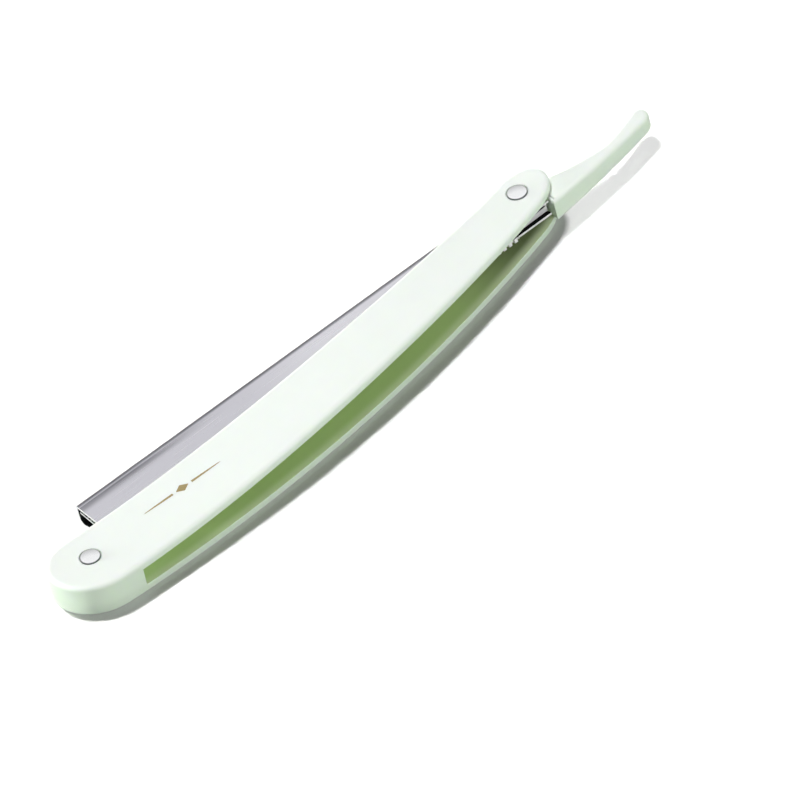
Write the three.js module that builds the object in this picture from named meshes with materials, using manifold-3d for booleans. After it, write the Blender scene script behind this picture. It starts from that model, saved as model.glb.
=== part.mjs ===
// Folding razor: two pale plastic scales, a folded sheet-steel blade holder and a plastic tail.
// Millimetres. The razor lies on the flat outer face of its rear scale, with +Z up. X runs along the line of the two
// rivets, from the rear end to the pivot, and +Y is the side that the blade holder swings out of.
// The origin is halfway between the rivets, on the face that the razor lies on.
import * as THREE from "three";
import { mergeVertices } from "three/addons/utils/BufferGeometryUtils.js";
import Module from "manifold-3d";

const wasm = await Module();
wasm.setup();

// Handle
const scaleThickness = 1.6;
const slotAtRear = 4; // clear height between the scales at the rear rivet
const scaleBow = 1.3; // how far the front scale springs away from the rear one between the rivets
const topAtRear = 7.8; // heights of the concave edge above the line of the rivets
const topAtMiddle = 1.85;
const topAtPivot = 4.9;
const bottomAtRear = 10.1; // depths of the bellied edge below that line
const bottomAtMiddle = 13.8;
const bottomAtPivot = 6.2;
const rearCap = 9.7; // how far the round ends run on past the rivets
const pivotCap = 8.1;
const edgeRound = 0.65;
const spacerReach = 4.3; // the spacer's front face, ahead of the rear rivet
const tipRoom = 5; // between the spacer and the tip of the folded blade holder
const glueLine = 0.05;

// Rivets
const shankRadius = 1.3;
const headOverhang = 0.9;
const headRim = 0.3;
const headDome = 0.35;
const headSeat = 0.3; // depth of the head's recess in the front scale
const clinchFlare = 0.65;
const clinchHeight = 0.4;
const clinchRecess = 0.12; // how far the clinched end stays below the rear face
const rivetWall = 0.55; // wall of the semi-tubular end
const rivetBoreDepth = 1.4;
const burrWidth = 0.95;
const burrThickness = 0.3;
const rivetPlay = 0.06; // radial play of the shank in the scales
const recessPlay = 0.15; // radial play of heads and burrs in their recesses
const stackPlay = 0.06; // play between pieces stacked along a rivet

// Pivot washers
const washerWidth = 1.3;
const washerThickness = 0.3;
const washerRoom = 0.15; // play between the sheath, a washer and a scale

// Blade
const bladeLength = 100;
const bladeWidth = 7.5;
const bladeThickness = 0.25;
const bladeGrind = 1.4; // width of the ground edge
const bladeLead = 3.5; // distance of its end from the tip of the sheath
const bladePlay = 0.07;
const edgeProud = 1.15; // how far the edge stands out of the mouth

// Blade holder, in the arm's own frame: x = 0 at the pivot, the tip at -x, the spine at +y
const restAngle = THREE.MathUtils.degToRad(5.5); // how far the arm stands open at rest
const heelReach = 3.6;
const sheetThickness = 0.5;
const spineRise = 3.4; // the spine above the pivot
const mouthDrop = 5.2; // the open edge below the pivot
const frontSpine = 2.5; // heights of the folded corners from the middle plane of the slot
const rearSpine = 2.95;
const frontMouth = 1.65;
const rearMouth = 1.2;
const frontInnerBend = 0.1; // bend radii on the inside of the sheet
const rearInnerBend = 1.3;
const armPlay = 0.08; // radial play of the arm round the pivot rivet

// Guard comb along the rear leaf
const combPitch = 1.5;
const combGap = 0.75; // width of one gap between teeth
const toothLength = 0.85;
const combStart = 5.4; // distance of the first gap from the pivot
const combTipMargin = 1.6;

// Clamp leaf
const leafThickness = 0.4;
const leafInnerBend = 0.3;
const leafTop = 1.08; // height of its folded corner
const leafFlange = 2.1; // the part that lies along the spine
const leafSetback = 0.25; // distance of its ends from the ends of the sheath
const leafMouthSetback = 0.3;
const weldGap = 0.08;
const tabThickness = 0.4; // the upturned tab that closes the leaf's heel

// Tail
const shoulderGap = 0.3; // between the sheath's heel and the tail's shoulder
const shoulderTop = 1.9;
const shoulderBottom = 6.1;
const tailReach = 34.4;
const tailBelly = 0.6; // bulge of the lower edge
const tailSag = 0.7; // hollow of the upper edge
const waistReach = 21.8;
const waistWidth = 2.25;
const tailTipTop = 2.3;
const tailTipWidth = 3.7;
const tailRoom = 0.3; // between the tail's root and each scale
const tailTipThickness = 3.9;
const tailRound = 0.9;
const tongueLength = 10; // how far the tongue runs past the pivot, inside the sheath
const tongueDrop = 2.3; // its lower edge below the pivot
const tonguePlay = 0.12;
const tongueToBlade = 2.2;

// Facets
const curveSteps = 20;
const tailSteps = 12;
const roundSteps = 3;
const turnSteps = 32;

// Sizes that follow from these: the sheath takes the blade, the handle takes the sheath
const headRadius = shankRadius + headOverhang;
const clinchRadius = shankRadius + clinchFlare;
const rivetBoreRadius = shankRadius - rivetWall;
const burrRadius = shankRadius + burrWidth;
const washerRadius = shankRadius + washerWidth;
const frontBend = frontInnerBend + sheetThickness;
const rearBend = rearInnerBend + sheetThickness;
const leafBend = leafInnerBend + leafThickness;
const tipReach = tongueLength + tongueToBlade + bladeLength + bladeLead;
const rivetSpacing = tipReach + tipRoom + spacerReach;
const sheathWidth = spineRise + mouthDrop;
const frontSlope = (frontSpine - frontMouth) / sheathWidth;
const rearSlope = (rearSpine - rearMouth) / sheathWidth;
const rearLean = Math.atan(rearSlope);
const rearBulge = rearSpine - rearBend * (Math.tan(Math.PI / 4 + rearLean / 2) - 1);
const slotAtPivot = 2 * (Math.max(frontSpine, rearBulge) + washerThickness + washerRoom);
const tailRootThickness = slotAtPivot - 2 * tailRoom;

const spread = Math.atan((slotAtPivot - slotAtRear) / rivetSpacing);
const rearX = -rivetSpacing / 2;
const pivotX = rivetSpacing / 2;
const slotAt = (x) => slotAtRear + ((slotAtPivot - slotAtRear) * (x - rearX)) / rivetSpacing;

// The bow of the front scale: level at both rivets, highest a little nearer to the pivot.
function bowAt(x) {
  const rise = (share) => share ** 2 * (1 - share) ** 1.5;
  const share = THREE.MathUtils.clamp((x - rearX) / rivetSpacing, 0, 1);
  return (scaleBow * rise(share)) / rise(4 / 7);
}

// Solids

function toSolid(geometry) {
  const bare = geometry.clone();
  bare.deleteAttribute("normal");
  bare.deleteAttribute("uv");
  const welded = mergeVertices(bare, 1e-5);
  return new wasm.Manifold(
    new wasm.Mesh({
      numProp: 3,
      vertProperties: new Float32Array(welded.attributes.position.array),
      triVerts: new Uint32Array(welded.index.array),
    }),
  );
}

function toGeometry(solid) {
  const mesh = solid.getMesh();
  const geometry = new THREE.BufferGeometry();
  geometry.setAttribute("position", new THREE.BufferAttribute(mesh.vertProperties, 3));
  geometry.setIndex(new THREE.BufferAttribute(mesh.triVerts, 1));
  geometry.computeVertexNormals();
  return geometry;
}

const cut = (geometry, ...cutters) =>
  toGeometry(cutters.reduce((solid, cutter) => solid.subtract(toSolid(cutter)), toSolid(geometry)));

// Outlines and lofts

// Moves each side of a counter-clockwise ring inwards, by mitring its corners.
function inset(ring, distance) {
  const inward = (from, to) => {
    const along = to.clone().sub(from).normalize();
    return new THREE.Vector2(-along.y, along.x);
  };
  return ring.map((point, i) => {
    const before = inward(ring.at(i - 1), point);
    const after = inward(point, ring[(i + 1) % ring.length]);
    const mitre = before.clone().add(after).divideScalar(1 + before.dot(after));
    return point.clone().addScaledVector(mitre, distance);
  });
}

// Closes a stack of equal rings of points into one solid.
function loft(rings) {
  const count = rings[0].length;
  const position = rings.flatMap((ring) => ring.flatMap((point) => [point.x, point.y, point.z]));
  const index = [];
  for (let level = 0; level + 1 < rings.length; level += 1) {
    for (let i = 0; i < count; i += 1) {
      const next = (i + 1) % count;
      const low = level * count;
      const high = low + count;
      index.push(low + i, low + next, high + next);
      index.push(low + i, high + next, high + i);
    }
  }
  const topStart = (rings.length - 1) * count;
  const flat = rings[0].map((point) => new THREE.Vector2(point.x, point.y));
  const faces = THREE.ShapeUtils.triangulateShape(flat, []);
  const signedArea = faces.reduce((sum, face) => sum + THREE.ShapeUtils.area(face.map((i) => flat[i])), 0);
  for (const face of faces) {
    const [a, b, c] = signedArea > 0 ? face : face.toReversed();
    index.push(a, c, b);
    index.push(topStart + a, topStart + b, topStart + c);
  }
  const geometry = new THREE.BufferGeometry();
  geometry.setAttribute("position", new THREE.Float32BufferAttribute(position, 3));
  geometry.setIndex(index);
  geometry.computeVertexNormals();
  return geometry;
}

// A plate with the given outline between two heights, which may change along x, with rounded rims.
function slab(outline, bottom, top, bottomRound, topRound) {
  const level = (distance, height) =>
    inset(outline, distance).map((point) => new THREE.Vector3(point.x, point.y, height(point.x)));
  const rings = [];
  const bottomSteps = bottomRound > 0 ? roundSteps : 0;
  const topSteps = topRound > 0 ? roundSteps : 0;
  for (let i = 0; i <= bottomSteps; i += 1) {
    const turn = bottomSteps ? ((i / bottomSteps) * Math.PI) / 2 : 0;
    const lift = bottomRound * (1 - Math.cos(turn));
    rings.push(level(bottomRound * (1 - Math.sin(turn)), (x) => bottom(x) + lift));
  }
  for (let i = 0; i <= topSteps; i += 1) {
    const turn = topSteps ? ((i / topSteps) * Math.PI) / 2 : 0;
    const drop = topRound * (1 - Math.sin(turn));
    rings.push(level(topRound * (1 - Math.cos(turn)), (x) => top(x) - drop));
  }
  return loft(rings);
}

function pathPoints(path, steps) {
  const points = path.getPoints(steps);
  const closed = points.at(-1).distanceTo(points[0]) < 1e-6;
  return closed ? points.slice(0, -1) : points;
}

// Both scales and the spacer share this outline: a concave top edge, a bellied lower edge and two round ends.
function handleOutline() {
  const bottomRear = new THREE.Vector2(rearX, -bottomAtRear);
  const bottomPivot = new THREE.Vector2(pivotX, -bottomAtPivot);
  const topRear = new THREE.Vector2(rearX, topAtRear);
  const topPivot = new THREE.Vector2(pivotX, topAtPivot);
  const bottomControl = new THREE.Vector2(0, -2 * bottomAtMiddle + (bottomAtRear + bottomAtPivot) / 2);
  const topControl = new THREE.Vector2(0, 2 * topAtMiddle - (topAtRear + topAtPivot) / 2);
  const onward = (from, control, cap) => {
    const handle = from.clone().sub(control).setLength((4 / 3) * cap);
    return from.clone().add(handle);
  };
  const path = new THREE.Path();
  path.moveTo(bottomRear.x, bottomRear.y);
  path.quadraticCurveTo(bottomControl.x, bottomControl.y, bottomPivot.x, bottomPivot.y);
  const pivotLow = onward(bottomPivot, bottomControl, pivotCap);
  const pivotHigh = onward(topPivot, topControl, pivotCap);
  path.bezierCurveTo(pivotLow.x, pivotLow.y, pivotHigh.x, pivotHigh.y, topPivot.x, topPivot.y);
  path.quadraticCurveTo(topControl.x, topControl.y, topRear.x, topRear.y);
  const rearHigh = onward(topRear, topControl, rearCap);
  const rearLow = onward(bottomRear, bottomControl, rearCap);
  path.bezierCurveTo(rearHigh.x, rearHigh.y, rearLow.x, rearLow.y, bottomRear.x, bottomRear.y);
  return pathPoints(path, curveSteps);
}

// A sheet bent along a line of corners. The sheet lies to the left of the line.
function bentSheet(corners, bends, thickness) {
  const outer = [];
  const inner = [];
  const put = (point, normal) => {
    outer.push(point);
    inner.push(point.clone().addScaledVector(normal, thickness));
  };
  const leftOf = (a, b) => {
    const along = b.clone().sub(a).normalize();
    return new THREE.Vector2(-along.y, along.x);
  };
  put(corners[0], leftOf(corners[0], corners[1]));
  for (let i = 1; i + 1 < corners.length; i += 1) {
    const into = leftOf(corners[i - 1], corners[i]);
    const away = leftOf(corners[i], corners[i + 1]);
    const turn = Math.acos(into.dot(away));
    const bisector = into.clone().add(away).normalize();
    const centre = corners[i].clone().addScaledVector(bisector, bends[i - 1] / Math.cos(turn / 2));
    for (let step = 0; step <= 2 * roundSteps; step += 1) {
      const angle = (turn * step) / (2 * roundSteps);
      const normal = into.clone().rotateAround(new THREE.Vector2(), angle);
      put(centre.clone().addScaledVector(normal, -bends[i - 1]), normal);
    }
  }
  put(corners.at(-1), leftOf(corners.at(-2), corners.at(-1)));
  return [...outer, ...inner.reverse()];
}

// Runs a section, drawn in y and z, along x.
function alongX(section, from, to) {
  const geometry = new THREE.ExtrudeGeometry(new THREE.Shape(section), { depth: to - from, bevelEnabled: false });
  const turned = new THREE.Matrix4().makeBasis(
    new THREE.Vector3(0, 1, 0),
    new THREE.Vector3(0, 0, 1),
    new THREE.Vector3(1, 0, 0),
  );
  return geometry.applyMatrix4(turned).translate(from, 0, 0);
}

// Turns a profile of radius and height about the z axis.
function turned(profile) {
  const points = profile.map(([radius, height]) => new THREE.Vector2(radius, height));
  return new THREE.LatheGeometry(points, turnSteps).rotateX(Math.PI / 2);
}

function cylinder(radius, from, to) {
  const geometry = new THREE.CylinderGeometry(radius, radius, to - from, turnSteps);
  return geometry.rotateX(Math.PI / 2).translate(0, 0, (from + to) / 2);
}

function ring(outerRadius, innerRadius, from, to) {
  return turned([
    [innerRadius, from],
    [outerRadius, from],
    [outerRadius, to],
    [innerRadius, to],
    [innerRadius, from],
  ]);
}

// Materials

const plastic = (color) => new THREE.MeshStandardMaterial({ color, roughness: 0.38, metalness: 0 });
const metal = (color, roughness) => new THREE.MeshStandardMaterial({ color, roughness, metalness: 1 });

function piece(name, geometry, material) {
  const mesh = new THREE.Mesh(geometry, material);
  mesh.name = name;
  return mesh;
}

// Stations: the front scale leans by the spread of the scales, and the rivets and the arm by half of it

const razor = new THREE.Group();

function station(x, height, lean) {
  const group = new THREE.Group();
  group.position.set(x, 0, height);
  group.rotation.y = -lean;
  group.updateMatrixWorld(true);
  razor.add(group);
  return group;
}

const frontStation = station(0, scaleThickness + slotAt(0), spread);
const rearStation = station(rearX, scaleThickness + slotAtRear / 2, spread / 2);
const pivotStation = station(pivotX, scaleThickness + slotAtPivot / 2, spread / 2);
const arm = new THREE.Group();
arm.rotation.z = -restAngle;
pivotStation.add(arm);

// Handle

const outline = handleOutline();
const rivets = [
  { group: rearStation, slot: slotAtRear, name: "rear" },
  { group: pivotStation, slot: slotAtPivot, name: "pivot" },
];
const frontFace = (slot) => slot / 2 + scaleThickness;
const rearFace = (slot) => -frontFace(slot);
const headFloor = (slot) => frontFace(slot) - headSeat;
const clinchBottom = (slot) => rearFace(slot) + clinchRecess;
const burrBottom = (slot) => clinchBottom(slot) + clinchHeight + stackPlay;
const recessFloor = (slot) => burrBottom(slot) + burrThickness + stackPlay;

function scaleCutters(frame) {
  const toFrame = frame.clone().invert();
  return rivets.flatMap(({ group, slot }) => {
    const beyond = 2 * frontFace(slot);
    const hole = cylinder(shankRadius + rivetPlay, -beyond, beyond);
    const headRecess = cylinder(headRadius + recessPlay, headFloor(slot), beyond);
    const clinchHole = cylinder(burrRadius + recessPlay, -beyond, recessFloor(slot));
    return [hole, headRecess, clinchHole].map((cutter) =>
      cutter.applyMatrix4(group.matrixWorld).applyMatrix4(toFrame),
    );
  });
}

function rearScale() {
  const plate = slab(outline, () => 0, () => scaleThickness, edgeRound, 0);
  return cut(plate, ...scaleCutters(new THREE.Matrix4()));
}

function frontScale() {
  const plate = slab(outline, bowAt, (x) => scaleThickness + bowAt(x), 0, edgeRound);
  return cut(plate, ...scaleCutters(frontStation.matrixWorld));
}

function endSpacer() {
  const front = rearX + spacerReach;
  const block = slab(
    outline,
    () => scaleThickness + glueLine,
    (x) => scaleThickness + slotAt(x) + bowAt(x) - glueLine,
    0,
    0,
  );
  const rearHalf = new THREE.BoxGeometry(rivetSpacing, rivetSpacing, rivetSpacing);
  rearHalf.translate(front - rivetSpacing / 2, 0, 0);
  const hole = cylinder(shankRadius + rivetPlay, -slotAtPivot, slotAtPivot).applyMatrix4(rearStation.matrixWorld);
  return toGeometry(toSolid(block).intersect(toSolid(rearHalf)).subtract(toSolid(hole)));
}

const handleColour = 0xdcf0dc;
razor.add(piece("rear_scale", rearScale(), plastic(handleColour)));
razor.add(piece("end_spacer", endSpacer(), plastic(handleColour)));
frontStation.add(piece("front_scale", frontScale(), plastic(handleColour)));

// Rivets: a low domed head in front, a semi-tubular end clinched over a burr in the rear recess

function rivet(slot) {
  const bottom = clinchBottom(slot);
  const seat = headFloor(slot) + stackPlay;
  const lip = clinchHeight / 3;
  const profile = [
    [0, bottom + rivetBoreDepth],
    [rivetBoreRadius, bottom + rivetBoreDepth],
    [rivetBoreRadius, bottom + lip],
    [rivetBoreRadius + lip, bottom],
    [clinchRadius - lip, bottom],
    [clinchRadius, bottom + lip],
    [clinchRadius, bottom + clinchHeight - lip],
    [clinchRadius - lip, bottom + clinchHeight],
    [shankRadius, bottom + clinchHeight],
    [shankRadius, seat],
    [headRadius, seat],
    [headRadius, seat + headRim],
  ];
  const domeSteps = 2 * roundSteps;
  for (let step = 1; step <= domeSteps; step += 1) {
    const share = step / domeSteps;
    profile.push([headRadius * (1 - share), seat + headRim + headDome * (1 - (1 - share) ** 2)]);
  }
  return turned(profile);
}

for (const { group, slot, name } of rivets) {
  group.add(piece(`${name}_rivet`, rivet(slot), metal(0xd8d8dc, 0.2)));
  const burr = ring(burrRadius, shankRadius + stackPlay, burrBottom(slot), burrBottom(slot) + burrThickness);
  group.add(piece(`${name}_rivet_burr`, burr, metal(0xcfcfd2, 0.3)));
}

const washerTop = slotAtPivot / 2 - stackPlay;
for (const [name, low] of [["front_pivot_washer", washerTop - washerThickness], ["rear_pivot_washer", -washerTop]]) {
  const washer = ring(washerRadius, shankRadius + rivetPlay, low, low + washerThickness);
  pivotStation.add(piece(name, washer, metal(0xc8c8cc, 0.3)));
}

// Blade sheath: one sheet folded at the spine, with a guard comb along the edge of its rear leaf

const rearLeafOuter = (y) => -rearSpine + rearSlope * (spineRise - y);
const rearLeafInner = (y) => rearLeafOuter(y) + sheetThickness / Math.cos(rearLean);
const frontLeafOuter = (y) => frontSpine - frontSlope * (spineRise - y);
const frontLeafInner = (y) => frontLeafOuter(y) - sheetThickness / Math.cos(Math.atan(frontSlope));
const toothTip = -mouthDrop - toothLength;
const pivotHole = cylinder(shankRadius + armPlay, -slotAtPivot, slotAtPivot);

function bladeSheath() {
  const section = bentSheet(
    [
      new THREE.Vector2(toothTip, rearLeafOuter(toothTip)),
      new THREE.Vector2(spineRise, -rearSpine),
      new THREE.Vector2(spineRise, frontSpine),
      new THREE.Vector2(-mouthDrop, frontMouth),
    ],
    [rearBend, frontBend],
    sheetThickness,
  );
  const gapDepth = toothLength + sheetThickness;
  const rootRadius = combGap / 2;
  const gapOutline = new THREE.Shape();
  gapOutline.moveTo(-rootRadius, -gapDepth);
  gapOutline.lineTo(rootRadius, -gapDepth);
  gapOutline.lineTo(rootRadius, -rootRadius);
  gapOutline.absarc(0, -rootRadius, rootRadius, 0, Math.PI);
  gapOutline.closePath();
  const gap = new THREE.ExtrudeGeometry(gapOutline, { depth: rearSpine, bevelEnabled: false, curveSegments: 4 });
  gap.translate(0, -mouthDrop, -rearSpine - sheetThickness / 2);
  const combLength = tipReach - combTipMargin - combStart;
  const gapCount = Math.floor((combLength - combGap) / combPitch) + 1;
  let sheath = toSolid(alongX(section, -tipReach, heelReach)).subtract(toSolid(pivotHole));
  for (let i = 0; i < gapCount; i += 1) {
    sheath = sheath.subtract(toSolid(gap.clone().translate(-combStart - rootRadius - i * combPitch, 0, 0)));
  }
  // no teeth beside the pivot: the rear leaf is cut back to the mouth there
  const plainLength = heelReach + combStart;
  const plain = new THREE.BoxGeometry(2 * plainLength, gapDepth, rearSpine);
  plain.translate(plainLength - combStart, -mouthDrop - gapDepth / 2, -rearSpine / 2 - sheetThickness / 2);
  return toGeometry(sheath.subtract(toSolid(plain)));
}

arm.add(piece("blade_sheath", bladeSheath(), metal(0xc9c8ce, 0.36)));

// Clamp leaf: a spring leaf welded along the spine, whose free edge holds the blade down on the rear leaf

const flangeFace = spineRise - sheetThickness - weldGap;
const leafEdge = -mouthDrop + leafMouthSetback;
const bladeStack = 2 * bladePlay + bladeThickness + leafThickness;
const leafEdgeHeight = rearLeafInner(leafEdge) + bladeStack / Math.cos(rearLean);
const leafSlope = (leafTop - leafEdgeHeight) / (flangeFace - leafEdge);
const leafOuter = (y) => leafTop - leafSlope * (flangeFace - y);
const leafInner = (y) => leafOuter(y) - leafThickness / Math.cos(Math.atan(leafSlope));

function clampLeaf() {
  const section = bentSheet(
    [
      new THREE.Vector2(flangeFace, leafTop - leafFlange),
      new THREE.Vector2(flangeFace, leafTop),
      new THREE.Vector2(leafEdge, leafOuter(leafEdge)),
    ],
    [leafBend],
    leafThickness,
  );
  const heel = heelReach - leafSetback;
  const leaf = alongX(section, -tipReach + leafSetback, heel);
  const root = flangeFace - 2 * leafBend;
  const tab = alongX(
    [
      new THREE.Vector2(leafEdge, leafInner(leafEdge)),
      new THREE.Vector2(root, leafInner(root)),
      new THREE.Vector2(root, frontLeafInner(root) - weldGap),
      new THREE.Vector2(leafEdge, frontLeafInner(leafEdge) - weldGap),
    ],
    heel - tabThickness,
    heel,
  );
  return toGeometry(toSolid(leaf).add(toSolid(tab)).subtract(toSolid(pivotHole)));
}

arm.add(piece("clamp_leaf", clampLeaf(), metal(0xc4c4ca, 0.3)));

// Blade: a strip with a ground edge, lying on the rear leaf

function blade() {
  const half = bladeThickness / 2;
  const section = [
    new THREE.Vector2(-bladeWidth, 0),
    new THREE.Vector2(-bladeWidth + bladeGrind, -half),
    new THREE.Vector2(0, -half),
    new THREE.Vector2(0, half),
    new THREE.Vector2(-bladeWidth + bladeGrind, half),
  ];
  const tip = -tipReach + bladeLead;
  return alongX(section, tip, tip + bladeLength);
}

const strip = piece("blade", blade(), metal(0xb9bcc4, 0.22));
const bladeBack = -mouthDrop - edgeProud + bladeWidth * Math.cos(rearLean);
const bladeLift = (bladePlay + bladeThickness / 2) / Math.cos(rearLean);
strip.position.set(0, bladeBack, rearLeafInner(bladeBack) + bladeLift);
strip.rotation.x = -rearLean;
arm.add(strip);

// Tail: a hooked plastic lever whose tongue runs into the heel of the sheath

const shoulder = heelReach + shoulderGap;

function tailOutline() {
  const bottomShoulder = new THREE.Vector2(shoulder, -shoulderBottom);
  const topShoulder = new THREE.Vector2(shoulder, shoulderTop);
  const tipStart = tailReach - tailTipWidth / 2;
  const bottomTip = new THREE.Vector2(tipStart, tailTipTop - tailTipWidth);
  const topTip = new THREE.Vector2(tipStart, tailTipTop);
  const tipHandle = (2 / 3) * tailTipWidth;
  const tipRise = (bottomTip.y - bottomShoulder.y) / (bottomTip.x - bottomShoulder.x);
  const between = (a, b, drop) => new THREE.Vector2((a.x + b.x) / 2, (a.y + b.y) / 2 - 2 * drop);
  const lower = between(bottomShoulder, bottomTip, tailBelly);
  const waistShare = (waistReach - shoulder) / (tipStart - shoulder);
  const underWaist = new THREE.QuadraticBezierCurve(bottomShoulder, lower, bottomTip).getPoint(waistShare);
  const waist = new THREE.Vector2(waistReach, underWaist.y + waistWidth);
  const upper = between(waist, topShoulder, tailSag);
  const path = new THREE.Path();
  path.moveTo(bottomShoulder.x, bottomShoulder.y);
  path.quadraticCurveTo(lower.x, lower.y, bottomTip.x, bottomTip.y);
  path.bezierCurveTo(
    bottomTip.x + tipHandle,
    bottomTip.y + 2 * tipRise * tipHandle,
    topTip.x + tipHandle,
    topTip.y + tipRise * tipHandle,
    topTip.x,
    topTip.y,
  );
  const hook = between(topTip, waist, tailSag / 2);
  path.quadraticCurveTo(hook.x, hook.y, waist.x, waist.y);
  path.quadraticCurveTo(upper.x, upper.y, topShoulder.x, topShoulder.y);
  path.closePath();
  return pathPoints(path, tailSteps);
}

function tail() {
  const half = (x) => {
    const share = (x - shoulder) / (tailReach - shoulder);
    return THREE.MathUtils.lerp(tailRootThickness, tailTipThickness, share) / 2;
  };
  const hook = slab(tailOutline(), (x) => -half(x), half, tailRound, tailRound);
  const high = flangeFace - leafThickness - tonguePlay;
  const inBend = spineRise - rearBend;
  const tongueSection = [
    new THREE.Vector2(-tongueDrop, rearLeafInner(-tongueDrop) + tonguePlay),
    new THREE.Vector2(inBend - tonguePlay, rearLeafInner(inBend) + 2 * tonguePlay),
    new THREE.Vector2(high, rearLeafInner(high) + sheetThickness + tonguePlay),
    new THREE.Vector2(high, leafInner(high) - 2 * tonguePlay),
    new THREE.Vector2(-tongueDrop, leafInner(-tongueDrop) - tonguePlay),
  ];
  const tongue = alongX(tongueSection, -tongueLength, shoulder + 2 * tailRound);
  return toGeometry(toSolid(hook).add(toSolid(tongue)).subtract(toSolid(pivotHole)));
}

arm.add(piece("tail", tail(), plastic(0xd6ecd6)));

export default razor;
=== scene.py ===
"""Folding razor: the finished surfaces of its scales, rivets, blade holder, blade and tail."""

import math

import bpy
from bpy.props import FloatProperty, FloatVectorProperty, IntProperty, PointerProperty
from mathutils import Matrix, Vector
from mathutils.geometry import intersect_point_line


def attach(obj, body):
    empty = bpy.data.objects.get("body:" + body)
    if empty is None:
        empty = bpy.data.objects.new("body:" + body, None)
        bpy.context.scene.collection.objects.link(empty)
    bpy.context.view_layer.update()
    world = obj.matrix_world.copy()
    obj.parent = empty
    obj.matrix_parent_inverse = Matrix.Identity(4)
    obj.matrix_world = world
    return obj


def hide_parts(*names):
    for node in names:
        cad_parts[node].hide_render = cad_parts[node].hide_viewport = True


bl_info = {
    "name": "Folding Razor",
    "version": (1, 0, 0),
    "blender": (4, 5, 0),
    "location": "3D View > Sidebar > Razor",
    "description": "Builds the pieces of a folding razor in their finished shapes and materials",
    "category": "Object",
}

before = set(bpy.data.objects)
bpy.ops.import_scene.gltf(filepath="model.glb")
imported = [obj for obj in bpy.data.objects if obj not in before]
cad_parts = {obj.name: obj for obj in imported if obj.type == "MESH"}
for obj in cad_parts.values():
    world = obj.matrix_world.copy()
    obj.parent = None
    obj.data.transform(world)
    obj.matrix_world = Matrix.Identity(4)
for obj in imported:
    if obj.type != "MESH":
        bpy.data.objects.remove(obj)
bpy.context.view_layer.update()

MM = 0.001

# Facets
END_STEPS = 16
SIDE_STEPS = 64
ROUND_STEPS = 7
BEND_STEPS = 14
TURN_STEPS = 72
TAIL_STEPS = 36
GAP_STEPS = 16
SHARP_ANGLE = math.radians(32)

# Places of the points across a plate's face, closer together near its rims
NEAR_RIM = (0.0, 0.025, 0.05, 0.08, 0.12, 0.17, 0.24, 0.34)
LADDER = (*NEAR_RIM, 0.5, *(1 - at for at in reversed(NEAR_RIM)))

# A cubic curve reaches three quarters as far as the handles at its ends
HANDLE_FOR_REACH = 4 / 3

# How steeply the bow of the front scale rises from the rear rivet and falls to the pivot
BOW_FROM_REAR, BOW_TO_PIVOT = 2, 1.5

# Where the marked depth of the slot's faces starts, so that all of such a face is told from the rim and gets
# the painted slot colours
SLOT_DEPTH_AT_RIM = 0.8 * MM

# How far a point may lie from a face that it still counts as part of
FACE_TOLERANCE = 0.02 * MM

# How square a face of a sheet stands to a direction to count as cut across it
SQUARE_ON = 0.7

# Most values of a noise lie between these
NOISE_LOW, NOISE_HIGH = 0.3, 0.7

# Sockets of the Mix node, which has one set for each kind of data
MIX_FACTOR, MIX_A, MIX_B, MIX_RESULT = 0, 6, 7, 2
MIX_FLOAT_A, MIX_FLOAT_B, MIX_FLOAT_RESULT = 2, 3, 0

# The camera's sensor in millimetres, and how many times nearer and farther than its target it sees
SENSOR_WIDTH = 36.0
CLIP_FACTOR = 100

WHITE = (1.0, 1.0, 1.0, 1.0)


# Properties


def linear(hex_colour):
    """The linear colour of an sRGB hex value such as "dcf0dc"."""
    shares = [int(hex_colour[i : i + 2], 16) / 255 for i in (0, 2, 4)]
    return tuple(s / 12.92 if s <= 0.04045 else ((s + 0.055) / 1.055) ** 2.4 for s in shares)


def length(name, description, millimetres):
    size = millimetres * MM
    return FloatProperty(name=name, description=description, default=size, unit="LENGTH", precision=5)


def spot(name, description, *millimetres):
    place = [size * MM for size in millimetres]
    return FloatVectorProperty(
        name=name, description=description, default=place, size=len(place), unit="LENGTH", precision=5
    )


def angle(name, description, degrees):
    turn = math.radians(degrees)
    return FloatProperty(name=name, description=description, default=turn, subtype="ANGLE")


def share(name, description, part):
    return FloatProperty(
        name=name, description=description, default=part, min=0.0, max=1.0, subtype="FACTOR"
    )


def strength(name, description, amount):
    return FloatProperty(name=name, description=description, default=amount, min=0.0)


def direction(name, description, *towards):
    return FloatVectorProperty(
        name=name, description=description, default=towards, size=3, subtype="DIRECTION"
    )


def colour(name, description, hex_colour):
    rgb = linear(hex_colour)
    return FloatVectorProperty(
        name=name, description=description, default=rgb, size=3, min=0.0, max=1.0, subtype="COLOR"
    )


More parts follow.
